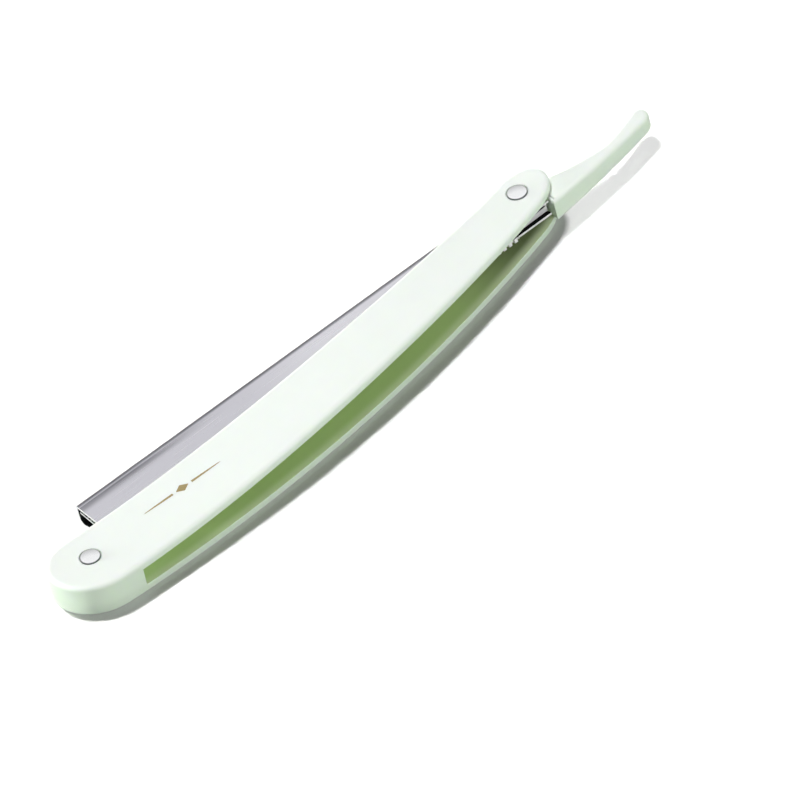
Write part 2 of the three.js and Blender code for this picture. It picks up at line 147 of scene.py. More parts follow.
class RAZOR_PG_handle(bpy.types.PropertyGroup):
    """Sizes of the two scales and the spacer."""

    rivet_spacing: length("Rivet Spacing", "From the rear rivet to the pivot rivet", 125)
    scale_thickness: length("Scale Thickness", "Thickness of each plastic scale", 1.6)
    slot_at_rear: length("Slot at Rear", "Clear height between the scales at the rear rivet", 4)
    slot_at_pivot: length("Slot at Pivot", "Clear height between the scales at the pivot", 5.99366)
    scale_bow: length("Scale Bow", "How far the front scale springs away between the rivets", 1.3)
    top_at_rear: length("Top at Rear", "Concave edge above the rivets' line, at the rear rivet", 7.8)
    top_at_middle: length("Top at Middle", "Concave edge above the rivets' line, halfway", 1.85)
    top_at_pivot: length("Top at Pivot", "Concave edge above the rivets' line, at the pivot", 4.9)
    bottom_at_rear: length("Bottom at Rear", "Bellied edge below the rivets' line, at the rear rivet", 10.1)
    bottom_at_middle: length("Bottom at Middle", "Bellied edge below the rivets' line, halfway", 13.8)
    bottom_at_pivot: length("Bottom at Pivot", "Bellied edge below the rivets' line, at the pivot", 6.2)
    rear_cap: length("Rear Cap", "How far the rear end runs on past its rivet", 9.7)
    pivot_cap: length("Pivot Cap", "How far the pivot end runs on past its rivet", 8.1)
    edge_round: length("Edge Round", "Radius of the front scale's outer rim", 1.05)
    rest_round: length("Rest Round", "Radius of the rim that the razor lies on", 0.12)
    spacer_reach: length("Spacer Reach", "Front face of the spacer, ahead of the rear rivet", 4.3)


class RAZOR_PG_rivets(bpy.types.PropertyGroup):
    """Sizes of the rivets, their burrs and the pivot washers."""

    shank_radius: length("Shank Radius", "Radius of the rivet's shank", 1.3)
    head_radius: length("Head Radius", "Radius of the domed head", 2.2)
    head_seat: length("Head Seat", "Depth of the head's recess in the front scale", 0.3)
    head_rim: length("Head Rim", "Height of the head's straight rim", 0.24)
    head_bevel: length("Head Bevel", "Width of the bevel between rim and dome", 0.46)
    head_height: length("Head Height", "Whole height of the head", 0.65)
    clinch_radius: length("Clinch Radius", "Radius of the rolled end", 1.95)
    clinch_height: length("Clinch Height", "Height of the rolled end", 0.4)
    clinch_recess: length("Clinch Recess", "How far the rolled end stays below the rear face", 0.12)
    bore_radius: length("Bore Radius", "Radius of the bore in the semi-tubular end", 0.75)
    bore_depth: length("Bore Depth", "Depth of that bore", 1.4)
    burr_radius: length("Burr Radius", "Radius of the burr under the rolled end", 2.25)
    burr_thickness: length("Burr Thickness", "Thickness of the burr", 0.3)
    washer_radius: length("Washer Radius", "Radius of the pivot washers", 2.6)
    washer_thickness: length("Washer Thickness", "Thickness of the pivot washers", 0.3)
    hole_play: length("Hole Play", "Radial play of the shank in its holes", 0.06)
    recess_play: length("Recess Play", "Radial play of heads and burrs in their recesses", 0.15)
    stack_play: length("Stack Play", "Play between pieces stacked along a rivet", 0.06)
    edge_break: length("Edge Break", "Chamfer on washers, burrs and recesses", 0.06)


class RAZOR_PG_holder(bpy.types.PropertyGroup):
    """Sizes of the blade sheath, clamp leaf and blade, in the arm's own frame."""

    rest_angle: angle("Rest Angle", "How far the arm stands open at rest", 5.5)
    tip_reach: length("Tip Reach", "From the pivot to the tip of the sheath", 116.2)
    heel_reach: length("Heel Reach", "From the pivot to the heel of the sheath", 3.6)
    sheet_thickness: length("Sheet Thickness", "Thickness of the folded sheet", 0.5)
    spine_rise: length("Spine Rise", "The spine above the pivot", 3.4)
    mouth_drop: length("Mouth Drop", "The open edge below the pivot", 5.2)
    front_spine: length("Front Spine", "Height of the front corner from the middle of the slot", 2.5)
    rear_spine: length("Rear Spine", "Depth of the rear corner from the middle of the slot", 2.95)
    front_mouth: length("Front Mouth", "Height of the front leaf's edge", 1.65)
    rear_mouth: length("Rear Mouth", "Depth of the rear leaf at the mouth", 1.2)
    front_bend: length("Front Bend", "Outer radius of the front fold", 0.6)
    rear_bend: length("Rear Bend", "Outer radius of the rear fold", 1.8)
    flare_reach: length("Flare Reach", "Where the upper leaves start to stand open, from the pivot", 16)
    front_flare: length("Front Flare", "How far the front leaf's edge stands open at the heel", 1.05)
    clamp_flare: length("Clamp Flare", "How far the clamp leaf's edge stands open at the heel", 0.65)
    lip_drop: length("Lip Drop", "How far the clamp leaf's edge is turned down at the heel", 1)
    heel_setback: length("Heel Setback", "How far the clamp leaf's edge is cut back at the heel", 0.85)
    arm_play: length("Arm Play", "Radial play of the arm round the pivot rivet", 0.08)
    comb_pitch: length("Comb Pitch", "From one tooth of the guard comb to the next", 1.5)
    comb_gap: length("Comb Gap", "Width of one gap between teeth", 0.75)
    tooth_length: length("Tooth Length", "How far the teeth stand out of the mouth", 0.85)
    comb_start: length("Comb Start", "Distance of the first gap from the pivot", 5.4)
    comb_count: IntProperty(name="Comb Gaps", description="Gaps in the guard comb", default=72, min=1)
    leaf_thickness: length("Leaf Thickness", "Thickness of the clamp leaf", 0.4)
    leaf_bend: length("Leaf Bend", "Outer radius of the clamp leaf's fold", 0.7)
    leaf_top: length("Leaf Top", "Height of the clamp leaf's folded corner", 1.25)
    leaf_flange: length("Leaf Flange", "The part of the clamp leaf that lies along the spine", 2.1)
    leaf_setback: length("Leaf Setback", "Distance of its ends from the ends of the sheath", 0.06)
    leaf_mouth_setback: length("Leaf Mouth Setback", "Distance of its free edge from the mouth", 0.3)
    weld_gap: length("Weld Gap", "Gap at the spot welds", 0.08)
    tab_thickness: length("Tab Thickness", "The upturned tab at the leaf's heel", 0.4)
    blade_length: length("Blade Length", "Length of the strip blade", 100)
    blade_width: length("Blade Width", "Width of the strip blade", 7.5)
    blade_thickness: length("Blade Thickness", "Thickness of the strip blade", 0.25)
    blade_grind: length("Blade Grind", "Width of the ground edge", 1.4)
    blade_lead: length("Blade Lead", "Distance of its end from the tip of the sheath", 4)
    blade_play: length("Blade Play", "Play of the blade on the rear leaf", 0.07)
    edge_proud: length("Edge Proud", "How far the edge stands out of the mouth", 1.15)


class RAZOR_PG_tail(bpy.types.PropertyGroup):
    """Sizes of the hooked tail, in the arm's own frame."""

    shoulder_gap: length("Shoulder Gap", "Between the sheath's heel and the tail's shoulder", 0.3)
    shoulder_top: length("Shoulder Top", "Top of the shoulder above the pivot", 1.9)
    shoulder_bottom: length("Shoulder Bottom", "Bottom of the shoulder below the pivot", 6.6)
    reach: length("Reach", "From the pivot to the end of the hook", 34.4)
    belly: length("Belly", "Bulge of the lower edge", 0.42)
    sag: length("Sag", "Hollow of the upper edge", 0.7)
    waist_reach: length("Waist Reach", "From the pivot to the waist", 21.8)
    waist_width: length("Waist Width", "Width at the waist", 2.9)
    tip_top: length("Tip Top", "Top of the hook above the pivot", 2.3)
    tip_width: length("Tip Width", "Width of the hook", 4.4)
    root_thickness: length("Root Thickness", "Thickness at the shoulder", 5.39366)
    tip_thickness: length("Tip Thickness", "Thickness at the end of the hook", 3.9)
    edge_round: length("Edge Round", "Radius of the rims", 1)
    tongue_length: length("Tongue Length", "How far the tongue runs past the pivot", 10)
    tongue_drop: length("Tongue Drop", "The tongue's lower edge below the pivot", 2.3)
    tongue_play: length("Tongue Play", "Play of the tongue in the sheath", 0.12)


class RAZOR_PG_foil(bpy.types.PropertyGroup):
    """Sizes of the plain foil ornament on the front scale."""

    place: spot("Place", "Middle of the ornament", -38, -2.4)
    turn: angle("Turn", "Direction of the ornament on the face", -8.8)
    rule_length: length("Rule Length", "Length of each tapering rule", 7.5)
    rule_gap: length("Rule Gap", "From a point of the lozenge to the rule beside it", 0.8)
    rule_width: length("Rule Width", "Width of a rule at its thick end", 0.55)
    lozenge_length: length("Lozenge Length", "Length of the lozenge", 3.2)
    lozenge_width: length("Lozenge Width", "Width of the lozenge", 2.1)
    thickness: length("Thickness", "Thickness of the foil", 0.02)


class RAZOR_PG_finish(bpy.types.PropertyGroup):
    """Colours of the materials, some of them painted light and shade, and where the slot's painted colours
    change.
    """

    mint: colour("Mint", "The plastic of scales and tail", "f3faf4")
    # Painted light: the rims' greener colour stands in for light that comes through the plastic
    painted_rim_glow: colour("Rim Green", "The plastic's rims, where light that ran along inside leaves", "e5f9e1")
    # Painted light and shade of the slot: pale next to its rim, green deep in, lighter by the spacer, darker
    # by the pivot where the holder shades it
    slot_pale: colour("Pale Slot", "The plastic of the slot's faces next to the rim", "e8f9cc")
    slot_green: colour("Slot Green", "The plastic deep in the slot, which light has come through", "c1dc96")
    slot_light: colour("Light Slot", "The slot next to the spacer, which light comes through too", "d4eeaa")
    slot_shade: colour("Slot Shade", "The slot near the pivot, where the blade holder shuts it", "76855c")
    green_depth: length("Green Depth", "Marked depth at which the slot is fully green", 3.4)
    shade_start: length("Shade Start", "Where the slot starts to darken towards the pivot", 34)
    shade_end: length("Shade End", "Where it is fully dark", 60)
    light_start: length("Light Start", "Where the slot starts to lighten towards the spacer", -38)
    light_end: length("Light End", "Where it is fully light", -58)
    steel: colour("Steel", "Satin sheet steel", "cdccd3")
    # Painted light on the sheath: a sheen towards the heel, and dark reflections on the rolled edge and in a
    # band beside it
    steel_sheen: colour("Bright Steel", "Satin sheet steel rubbed by the scales", "ecebf0")
    dark_reflection_steel: colour("Dark Steel", "The rolled edge and the burnished band beside it", "5c5c63")
    # Painted shade: the near-black inside of the sheath and the clamp leaf's flange, and the ground of the
    # tongue's painted shade
    inside: colour("Inside", "The blackened inside of the sheath", "0c0c0d")
    # Partly a painted highlight: the near-white of the cut ends and open edges
    sheared: colour("Sheared Edge", "The cut ends of the sheets", "fcfcfd")
    spring: colour("Spring Steel", "The clamp leaf", "b9b9be")
    blade: colour("Blade Steel", "The strip blade", "c0c2c8")
    nickel: colour("Nickel", "Rivets, burrs and washers", "f0f1f2")
    # Painted shade: the dark ring round the rim of a rivet's head
    nickel_ring_shade: colour("Dark Nickel", "The rim of a rivet's head, where polish and dust stay", "74767a")
    gold: colour("Gold Foil", "The ornament", "b2a172")


class RAZOR_PG_stage(bpy.types.PropertyGroup):
    """Camera, lights and floor."""

    camera_target: spot("Target", "Point at the middle of the picture", 6.185, -21.437, 7)
    camera_turn: angle("Turn", "Direction of view, from +Y towards +X", 34.72)
    camera_elevation: angle("Elevation", "Height of the camera above the horizon", 41.43)
    camera_roll: angle("Roll", "Turn of the camera about its line of sight", 15.22)
    camera_distance: length("Distance", "From the camera to its target", 7000)
    frame_width: length("Frame Width", "Width of the picture at the target", 161.96)
    key_direction: direction("Key Direction", "Towards the key light behind the razor", 0.1, 0.47, 1)
    key_strength: strength("Key Strength", "Strength of the key light", 1.97)
    key_angle: angle("Key Angle", "Softness of the key light and of the one at the rear end", 10)
    floor_strength: strength("Floor Strength", "Strength of the key light on the floor alone", 1.93)
    front_direction: direction("Front Direction", "Towards the low light in front", -0.02, -0.88, 0.42)
    front_strength: strength("Front Strength", "Strength of the low light in front", 1.7)
    front_angle: angle("Front Angle", "Softness of the low light in front", 30)
    side_direction: direction("Side Direction", "Towards the low light at the rear end", -0.68, 0.73, 0.05)
    side_strength: strength("Side Strength", "Strength of the low light at the rear end", 4.5)
    fill_strength: share("Fill Strength", "Light from all round", 0.14)
    horizon: share("Horizon", "Brightness of the room near the horizon, as metal shows it", 0.15)
    horizon_rise: share("Horizon Rise", "How far up the room is fully bright", 0.7)
    paper_white: share("Paper White", "Whiteness of the floor as it is seen", 0.94)
    floor_lift: share("Floor Lift", "White added to the floor as the camera sees it", 0.04)
    floor_bounce: share("Floor Bounce", "Share of the light that the floor throws back at the razor", 0.34)
    floor_size: length("Floor Size", "Side of the floor", 12000)
    floor_gap: length("Floor Gap", "Gap that keeps the floor clear of the razor's lowest face", 0.02)


PROPERTY_GROUPS = {
    "razor_handle": RAZOR_PG_handle,
    "razor_rivets": RAZOR_PG_rivets,
    "razor_holder": RAZOR_PG_holder,
    "razor_tail": RAZOR_PG_tail,
    "razor_foil": RAZOR_PG_foil,
    "razor_finish": RAZOR_PG_finish,
    "razor_stage": RAZOR_PG_stage,
}


# Nodes


def add_node(tree, kind, inputs=None, **settings):
    """Adds a node with its settings. An input takes a value or another node's output."""
    made = tree.nodes.new(kind)
    for name, value in settings.items():
        setattr(made, name, value)
    for key, value in (inputs or {}).items():
        if isinstance(value, bpy.types.NodeSocket):
            tree.links.new(value, made.inputs[key])
        else:
            made.inputs[key].default_value = value
    return made


def new_material(name):
    """An empty node material and its tree."""
    material = bpy.data.materials.new(name)
    material.use_nodes = True
    tree = material.node_tree
    tree.nodes.clear()
    return material, tree


def finish_surface(material, look):
    """Gives a material the shader that has its look."""
    tree = material.node_tree
    shader = add_node(tree, "ShaderNodeBsdfPrincipled", look).outputs["BSDF"]
    add_node(tree, "ShaderNodeOutputMaterial", {"Surface": shader})
    return material


def existing(name, make):
    """The material of that name, made the first time that it is asked for."""
    return bpy.data.materials.get(name) or make(name)


def opaque(rgb):
    return (*rgb, 1.0)


def per_metre(millimetres):
    """Texture scale for a pattern of the given size."""
    return 1 / (millimetres * MM)


def coated(tree, tone, *coats):
    """A colour with others laid over it in turn, each as far as its factor says."""
    for factor, over in coats:
        tone = add_node(
            tree, "ShaderNodeMix", {MIX_FACTOR: factor, MIX_A: tone, MIX_B: over}, data_type="RGBA"
        ).outputs[MIX_RESULT]
    return tone


def uneven(tree, place, grain, detail, low, high):
    """A noise with a grain in millimetres, and a value that follows it between a low and a high one."""
    noise = add_node(
        tree, "ShaderNodeTexNoise", {"Vector": place, "Scale": per_metre(grain), "Detail": detail}
    ).outputs["Fac"]
    limits = {"From Min": NOISE_LOW, "From Max": NOISE_HIGH, "To Min": low, "To Max": high}
    return noise, add_node(tree, "ShaderNodeMapRange", {"Value": noise, **limits}).outputs["Result"]


def arm_place(tree):
    """Object coordinates turned into the arm's own frame."""
    turned_back = arm_matrix(bpy.context.scene).inverted()
    return add_node(
        tree,
        "ShaderNodeMapping",
        {
            "Vector": add_node(tree, "ShaderNodeTexCoord").outputs["Object"],
            "Location": turned_back.to_translation(),
            "Rotation": turned_back.to_euler(),
        },
    ).outputs["Vector"]


def brushed(tree, place, width, stretch, smooth, rough):
    """Lines along the arm with a width in millimetres, and a roughness that follows them.

    They are coarser than real brushing, which would be too fine to show.
    """
    drawn_out = add_node(tree, "ShaderNodeMapping", {"Vector": place, "Scale": (1 / stretch, 1.0, 1.0)})
    return uneven(tree, drawn_out.outputs["Vector"], width, detail=4, low=smooth, high=rough)


# Materials


def mint_plastic(name):
    """Moulded cellulose acetate: a soft gloss over a pale body that light sinks into.

    Its rims are painted greener, a painted glow for light that comes through the plastic, and the slot's
    faces
    carry painted light and shade: pale at the rim, deep green further in, darker towards the pivot and
    lighter towards the spacer.
    """
    finish = bpy.context.scene.razor_finish
    material, tree = new_material(name)
    place = add_node(tree, "ShaderNodeTexCoord").outputs["Object"]
    _, cloud = uneven(tree, place, grain=9, detail=2, low=0.0, high=0.04)
    peel, gloss = uneven(tree, place, grain=0.9, detail=3, low=0.3, high=0.42)
    dimple = add_node(tree, "ShaderNodeBump", {"Height": peel, "Strength": 0.05, "Distance": 0.05 * MM})
    rim = add_node(tree, "ShaderNodeAttribute", attribute_name="rim").outputs["Fac"]
    depth = add_node(tree, "ShaderNodeAttribute", attribute_name="slot_depth").outputs["Fac"]
    along = add_node(tree, "ShaderNodeSeparateXYZ", {"Vector": place}).outputs["X"]
    fades = {}
    for part, value, start, end in (
        ("inner_face", depth, 0, SLOT_DEPTH_AT_RIM),
        ("painted_deep_shade", depth, SLOT_DEPTH_AT_RIM, finish.green_depth),
        ("pivot_painted_shade", along, finish.shade_start, finish.shade_end),
        ("spacer_painted_light", along, finish.light_start, finish.light_end),
    ):
        fades[part] = add_node(
            tree,
            "ShaderNodeMapRange",
            {"Value": value, "From Min": start, "From Max": end},
            interpolation_type="SMOOTHSTEP",
        ).outputs["Result"]
    # Painted shade and light of the slot: green deep in, darker towards the pivot where the holder shades it,
    # lighter towards the spacer
    slot = coated(
        tree,
        opaque(finish.slot_green),
        (fades["pivot_painted_shade"], opaque(finish.slot_shade)),
        (fades["spacer_painted_light"], opaque(finish.slot_light)),
    )
    body = coated(
        tree,
        opaque(finish.mint),
        (cloud, opaque(finish.slot_green)),
        # Painted light: the slot's faces pale next to their open rim, under the painted shade deeper in
        (fades["inner_face"], opaque(finish.slot_pale)),
        # Painted light: the glow on the plastic's rims, by how far a face turns from lying flat
        (rim, opaque(finish.painted_rim_glow)),
        (fades["painted_deep_shade"], slot),
    )
    look = {
        "Base Color": body,
        "Roughness": gloss,
        "Normal": dimple.outputs["Normal"],
        "IOR": 1.48,
        "Subsurface Weight": 0.3,
        "Subsurface Radius": (0.8, 1.0, 0.6),
        "Subsurface Scale": 0.7 * MM,
    }
    return finish_surface(material, look)


def painted_shade_plastic(name):
    """The tail's tongue inside the sheath, painted a dark black-green for the shade that it lies in."""
    finish = bpy.context.scene.razor_finish
    material, tree = new_material(name)
    place = add_node(tree, "ShaderNodeTexCoord").outputs["Object"]
    mottle = add_node(tree, "ShaderNodeTexNoise", {"Vector": place, "Scale": per_metre(1.2), "Detail": 4})
    tone = coated(tree, opaque(finish.inside), (mottle.outputs["Fac"], opaque(finish.slot_shade)))
    dark = add_node(tree, "ShaderNodeHueSaturation", {"Value": 0.2, "Color": tone}).outputs["Color"]
    return finish_surface(material, {"Base Color": dark, "Roughness": 0.7, "Specular IOR Level": 0.2})


def satin_steel(name):
    """Cold-rolled sheet steel, satin along its length, with a painted dark reflection on the rolled edge.

    A painted dark reflection band lies beside the fold near the tip, and a painted sheen brightens the end
    towards the heel.
    """
    finish = bpy.context.scene.razor_finish
    holder = bpy.context.scene.razor_holder
    material, tree = new_material(name)
    place = arm_place(tree)
    apart = add_node(tree, "ShaderNodeSeparateXYZ", {"Vector": place}).outputs
    from_fold = add_node(
        tree, "ShaderNodeMath", {0: holder.spine_rise, 1: apart["Y"]}, operation="SUBTRACT"
    ).outputs[0]
    fades = {}
    # Painted reflections: a dark line on the rolled edge, a dark band beside the fold near the tip, and a
    # sheen towards the heel
    for part, value, start, end, low, high in (
        ("painted_dark_fold", from_fold, 0.7, 1.4, 0.8, 0.0),
        ("dark_reflection_from", from_fold, 1.15, 1.4, 0.0, 0.75),
        ("dark_reflection_to", from_fold, 1.5, 3.4, 1.0, 0.0),
        ("dark_reflection_along", apart["X"], -102, -76, 1.0, 0.0),
        ("painted_sheen", apart["X"], -78, -50, 0.0, 0.45),
    ):
        limits = {"From Min": start * MM, "From Max": end * MM, "To Min": low, "To Max": high}
        fades[part] = add_node(
            tree, "ShaderNodeMapRange", {"Value": value, **limits}, interpolation_type="SMOOTHSTEP"
        ).outputs["Result"]
    lines, gloss = brushed(tree, place, width=0.35, stretch=40, smooth=0.24, rough=0.38)
    grooves = add_node(tree, "ShaderNodeBump", {"Height": lines, "Strength": 0.08, "Distance": 0.02 * MM})
    limits = {"From Min": 0.25, "From Max": 0.6, "To Min": 0.7, "To Max": 1.0}
    shade = add_node(tree, "ShaderNodeMapRange", {"Value": lines, **limits}).outputs["Result"]
    for operation, part in (
        ("MULTIPLY", "dark_reflection_from"),
        ("MULTIPLY", "dark_reflection_to"),
        ("MULTIPLY", "dark_reflection_along"),
        ("MAXIMUM", "painted_dark_fold"),
    ):
        shade = add_node(tree, "ShaderNodeMath", {0: shade, 1: fades[part]}, operation=operation).outputs[0]
    tone = coated(
        tree,
        opaque(finish.steel),
        (fades["painted_sheen"], opaque(finish.steel_sheen)),
        (shade, opaque(finish.dark_reflection_steel)),
    )
    look = {"Base Color": tone, "Metallic": 1.0, "Roughness": gloss, "Normal": grooves.outputs["Normal"]}
    return finish_surface(material, look)


def plain_steel(name, rgb, width, smooth, rough, metallic=1.0):
    """Steel with fine lines along the arm, between two roughnesses."""
    material, tree = new_material(name)
    lines, gloss = brushed(tree, arm_place(tree), width, stretch=30, smooth=smooth, rough=rough)
    grooves = add_node(tree, "ShaderNodeBump", {"Height": lines, "Strength": 0.06, "Distance": 0.02 * MM})
    look = {
        "Base Color": opaque(rgb),
        "Metallic": metallic,
        "Roughness": gloss,
        "Normal": grooves.outputs["Normal"],
    }
    return finish_surface(material, look)


def spring_steel(name):
    """Blue-grey spring strip: smoother than the sheath."""
    return plain_steel(name, bpy.context.scene.razor_finish.spring, width=0.3, smooth=0.22, rough=0.34)


def ground_steel(name):
    """Ground and honed blade strip: the finest lines and the brightest gloss."""
    return plain_steel(name, bpy.context.scene.razor_finish.blade, width=0.15, smooth=0.14, rough=0.26)


def sheared_highlight_steel(name):
    """The cut ends of the sheets, freshly cut and a little torn; their near-white colour is partly a painted
    highlight.
    """
    bright = bpy.context.scene.razor_finish.sheared
    return plain_steel(name, bright, width=0.2, smooth=0.3, rough=0.5, metallic=0.3)


def painted_shade_steel(name):
    """Painted shade: the inside of the fold, painted near black for the shade deep in the sheath; it swallows
    the light.
    """
    black = bpy.context.scene.razor_finish.inside
    material, tree = new_material(name)
    place = add_node(tree, "ShaderNodeTexCoord").outputs["Object"]
    _, gloss = uneven(tree, place, grain=1.5, detail=4, low=0.7, high=0.9)
    return finish_surface(
        material, {"Base Color": opaque(black), "Specular IOR Level": 0.1, "Roughness": gloss}
    )


def nickel_plate(name):
    """Bright nickel over brass, tumbled: a mirror with a fine haze, with a painted dark ring of shade at the
    rim of a head.
    """
    finish = bpy.context.scene.razor_finish
    material, tree = new_material(name)
    place = add_node(tree, "ShaderNodeTexCoord").outputs["Object"]
    haze, gloss = uneven(tree, place, grain=0.5, detail=5, low=0.1, high=0.24)
    dents = add_node(tree, "ShaderNodeBump", {"Height": haze, "Strength": 0.1, "Distance": 0.03 * MM})
    from_axis = add_node(tree, "ShaderNodeAttribute", attribute_name="from_axis").outputs["Fac"]
    # Painted shade on the outer tenth of a head's radius
    painted_ring = add_node(
        tree,
        "ShaderNodeMapRange",
        {"Value": from_axis, "From Min": 0.9, "From Max": 1.0},
        interpolation_type="SMOOTHSTEP",
    ).outputs["Result"]
    tone = coated(tree, opaque(finish.nickel), (painted_ring, opaque(finish.nickel_ring_shade)))
    look = {"Base Color": tone, "Metallic": 1.0, "Roughness": gloss, "Normal": dents.outputs["Normal"]}
    return finish_surface(material, look)


def gold_foil(name):
    """Hot-stamped gold foil: a warm, slightly broken shine."""
    gold = bpy.context.scene.razor_finish.gold
    material, tree = new_material(name)
    place = add_node(tree, "ShaderNodeTexCoord").outputs["Object"]
    _, gloss = uneven(tree, place, grain=0.4, detail=4, low=0.3, high=0.55)
    return finish_surface(material, {"Base Color": opaque(gold), "Metallic": 0.8, "Roughness": gloss})


# Frames of the razor


def spread_of(razor):
    handle = razor.razor_handle
    return math.atan((handle.slot_at_pivot - handle.slot_at_rear) / handle.rivet_spacing)


def along_handle(razor, x):
    """The place of a point along the handle, from 0 at the rear rivet to 1 at the pivot."""
    return x / razor.razor_handle.rivet_spacing + 0.5


def slot_at(razor, x):
    handle = razor.razor_handle
    return handle.slot_at_rear + (handle.slot_at_pivot - handle.slot_at_rear) * along_handle(razor, x)


def bow_at(razor, x):
    """The bow of the front scale: level at both rivets, highest a little nearer to the pivot."""

    def rise(at):
        return at**BOW_FROM_REAR * (1 - at) ** BOW_TO_PIVOT

    along = min(max(along_handle(razor, x), 0.0), 1.0)
    highest = BOW_FROM_REAR / (BOW_FROM_REAR + BOW_TO_PIVOT)
    return razor.razor_handle.scale_bow * rise(along) / rise(highest)


def station_matrix(x, height, lean):
    return Matrix.Translation((x, 0, height)) @ Matrix.Rotation(-lean, 4, "Y")


def front_matrix(razor):
    return station_matrix(0.0, razor.razor_handle.scale_thickness + slot_at(razor, 0.0), spread_of(razor))


def rivet_matrices(razor):
    """The frames of the rear and the pivot rivet, in the middle of the slot, and the slot's height there."""
    handle = razor.razor_handle
    half = handle.rivet_spacing / 2
    lean = spread_of(razor) / 2
    places = {"rear": (-half, handle.slot_at_rear), "pivot": (half, handle.slot_at_pivot)}
    return {
        name: (station_matrix(x, handle.scale_thickness + slot / 2, lean), slot)
        for name, (x, slot) in places.items()
    }


def arm_matrix(razor):
    pivot, _ = rivet_matrices(razor)["pivot"]
    return pivot @ Matrix.Rotation(-razor.razor_holder.rest_angle, 4, "Z")


# Meshes


def new_mesh(name, points, faces):
    mesh = bpy.data.meshes.new(name)
    mesh.from_pydata(points, [], faces)
    mesh.validate()
    return mesh


def bezier(points, at):
    """Point on a Bezier curve of any degree."""
    level = [Vector(point) for point in points]
    while len(level) > 1:
        level = [a.lerp(b, at) for a, b in zip(level, level[1:])]
    return level[0]


def curve(points, steps):
    """Points at even shares along a Bezier curve."""
    return [bezier(points, step / steps) for step in range(steps + 1)]


def left_of(start, end):
    """The direction to the left of a line from start to end."""
    along = (end - start).normalized()
    return Vector((-along.y, along.x))


def distance_to(line, point):
    """From a point to the nearest place on a line of straight stretches."""
    nearest = math.inf
    for start, end in zip(line, line[1:]):
        foot, along = intersect_point_line(point, start, end)
        foot = start if along < 0 else end if along > 1 else foot
        nearest = min(nearest, (point - foot).length)
    return nearest


def inset(ring, distance):
    """Moves each side of a counter-clockwise ring inwards, by mitring its corners."""
    moved = []
    for i, point in enumerate(ring):
        before = left_of(ring[i - 1], point)
        after = left_of(point, ring[(i + 1) % len(ring)])
        moved.append(point + (before + after) / (1 + before.dot(after)) * distance)
    return moved


def outline_of(stations):
    """The counter-clockwise ring round a ladder of lower and upper points."""
    return [low for low, _ in stations] + [high for _, high in stations[-2:0:-1]]


def rim_rings(radius):
    """Rings round a rounded rim, from its wall to its face, as inset and distance from the face."""
    if not radius:
        return [(0.0, 0.0)]
    turns = [math.pi / 2 * step / ROUND_STEPS for step in range(ROUND_STEPS + 1)]
    return [(radius * (1 - math.cos(turn)), radius * (1 - math.sin(turn))) for turn in turns]


def slab(name, stations, floor, roof, floor_round, roof_round):
    """A plate between two heights with rounded rims. Its outline is a ladder of lower and upper points."""
    outline = outline_of(stations)
    count = len(outline)
    last = len(stations) - 1
    rings = [(distance, floor, rise) for distance, rise in reversed(rim_rings(floor_round))]
    rings += [(distance, roof, -drop) for distance, drop in rim_rings(roof_round)]
    top = (len(rings) - 1) * count
    points = []
    faces = []
    for distance, height, offset in rings:
        for point in inset(outline, distance):
            points.append(Vector((point.x, point.y, height(point.x) + offset)))
    for low in range(0, top, count):
        for i in range(count):
            after = (i + 1) % count
            faces.append((low + i, low + after, low + count + after, low + count + i))
    for start, height, turned_over in ((0, floor, True), (top, roof, False)):
        rows = [[start]]
        for station in range(1, last):
            low = start + station
            high = start + count - station
            row = [low]
            for at in LADDER[1:-1]:
                between = points[low].lerp(points[high], at)
                points.append(Vector((between.x, between.y, height(between.x))))
                row.append(len(points) - 1)
            rows.append([*row, high])
        rows.append([start + last])
        for row, after in zip(rows, rows[1:]):
            for face in rung_faces(row, after):
                faces.append(face[::-1] if turned_over else face)
    return new_mesh(name, points, faces)


def rung_faces(row, after):
    """Faces between two rungs of a ladder; the first and the last rung are single points."""
    if len(row) == 1:
        return [(row[0], b, a) for a, b in zip(after[1:], after)]
    if len(after) == 1:
        return [(a, after[0], b) for a, b in zip(row, row[1:])]
    return [(row[i], after[i], after[i + 1], row[i + 1]) for i in range(len(row) - 1)]


def turned_mesh(name, profile, closed=False):
    """Turns a profile of (radius, height) about the z axis, drawn counter-clockwise beside that axis."""
    points = []
    rows = []
    for radius, height in profile:
        if radius == 0:
            rows.append([len(points)] * TURN_STEPS)
            points.append(Vector((0, 0, height)))
            continue
        rows.append(list(range(len(points), len(points) + TURN_STEPS)))
        for step in range(TURN_STEPS):
            turn = 2 * math.pi * step / TURN_STEPS
            points.append(Vector((radius * math.cos(turn), radius * math.sin(turn), height)))
    pairs = list(zip(rows, rows[1:]))
    if closed:
        pairs.append((rows[-1], rows[0]))
    faces = []
    for low, high in pairs:
        for step in range(TURN_STEPS):
            after = (step + 1) % TURN_STEPS
            corners = (low[step], low[after], high[after], high[step])
            faces.append(tuple(dict.fromkeys(corners)))
    return new_mesh(name, points, faces)


def pin(name, radius, bottom, top):
    """A plain cylinder, for cutting."""
    return turned_mesh(name, [(0, bottom), (radius, bottom), (radius, top), (0, top)])


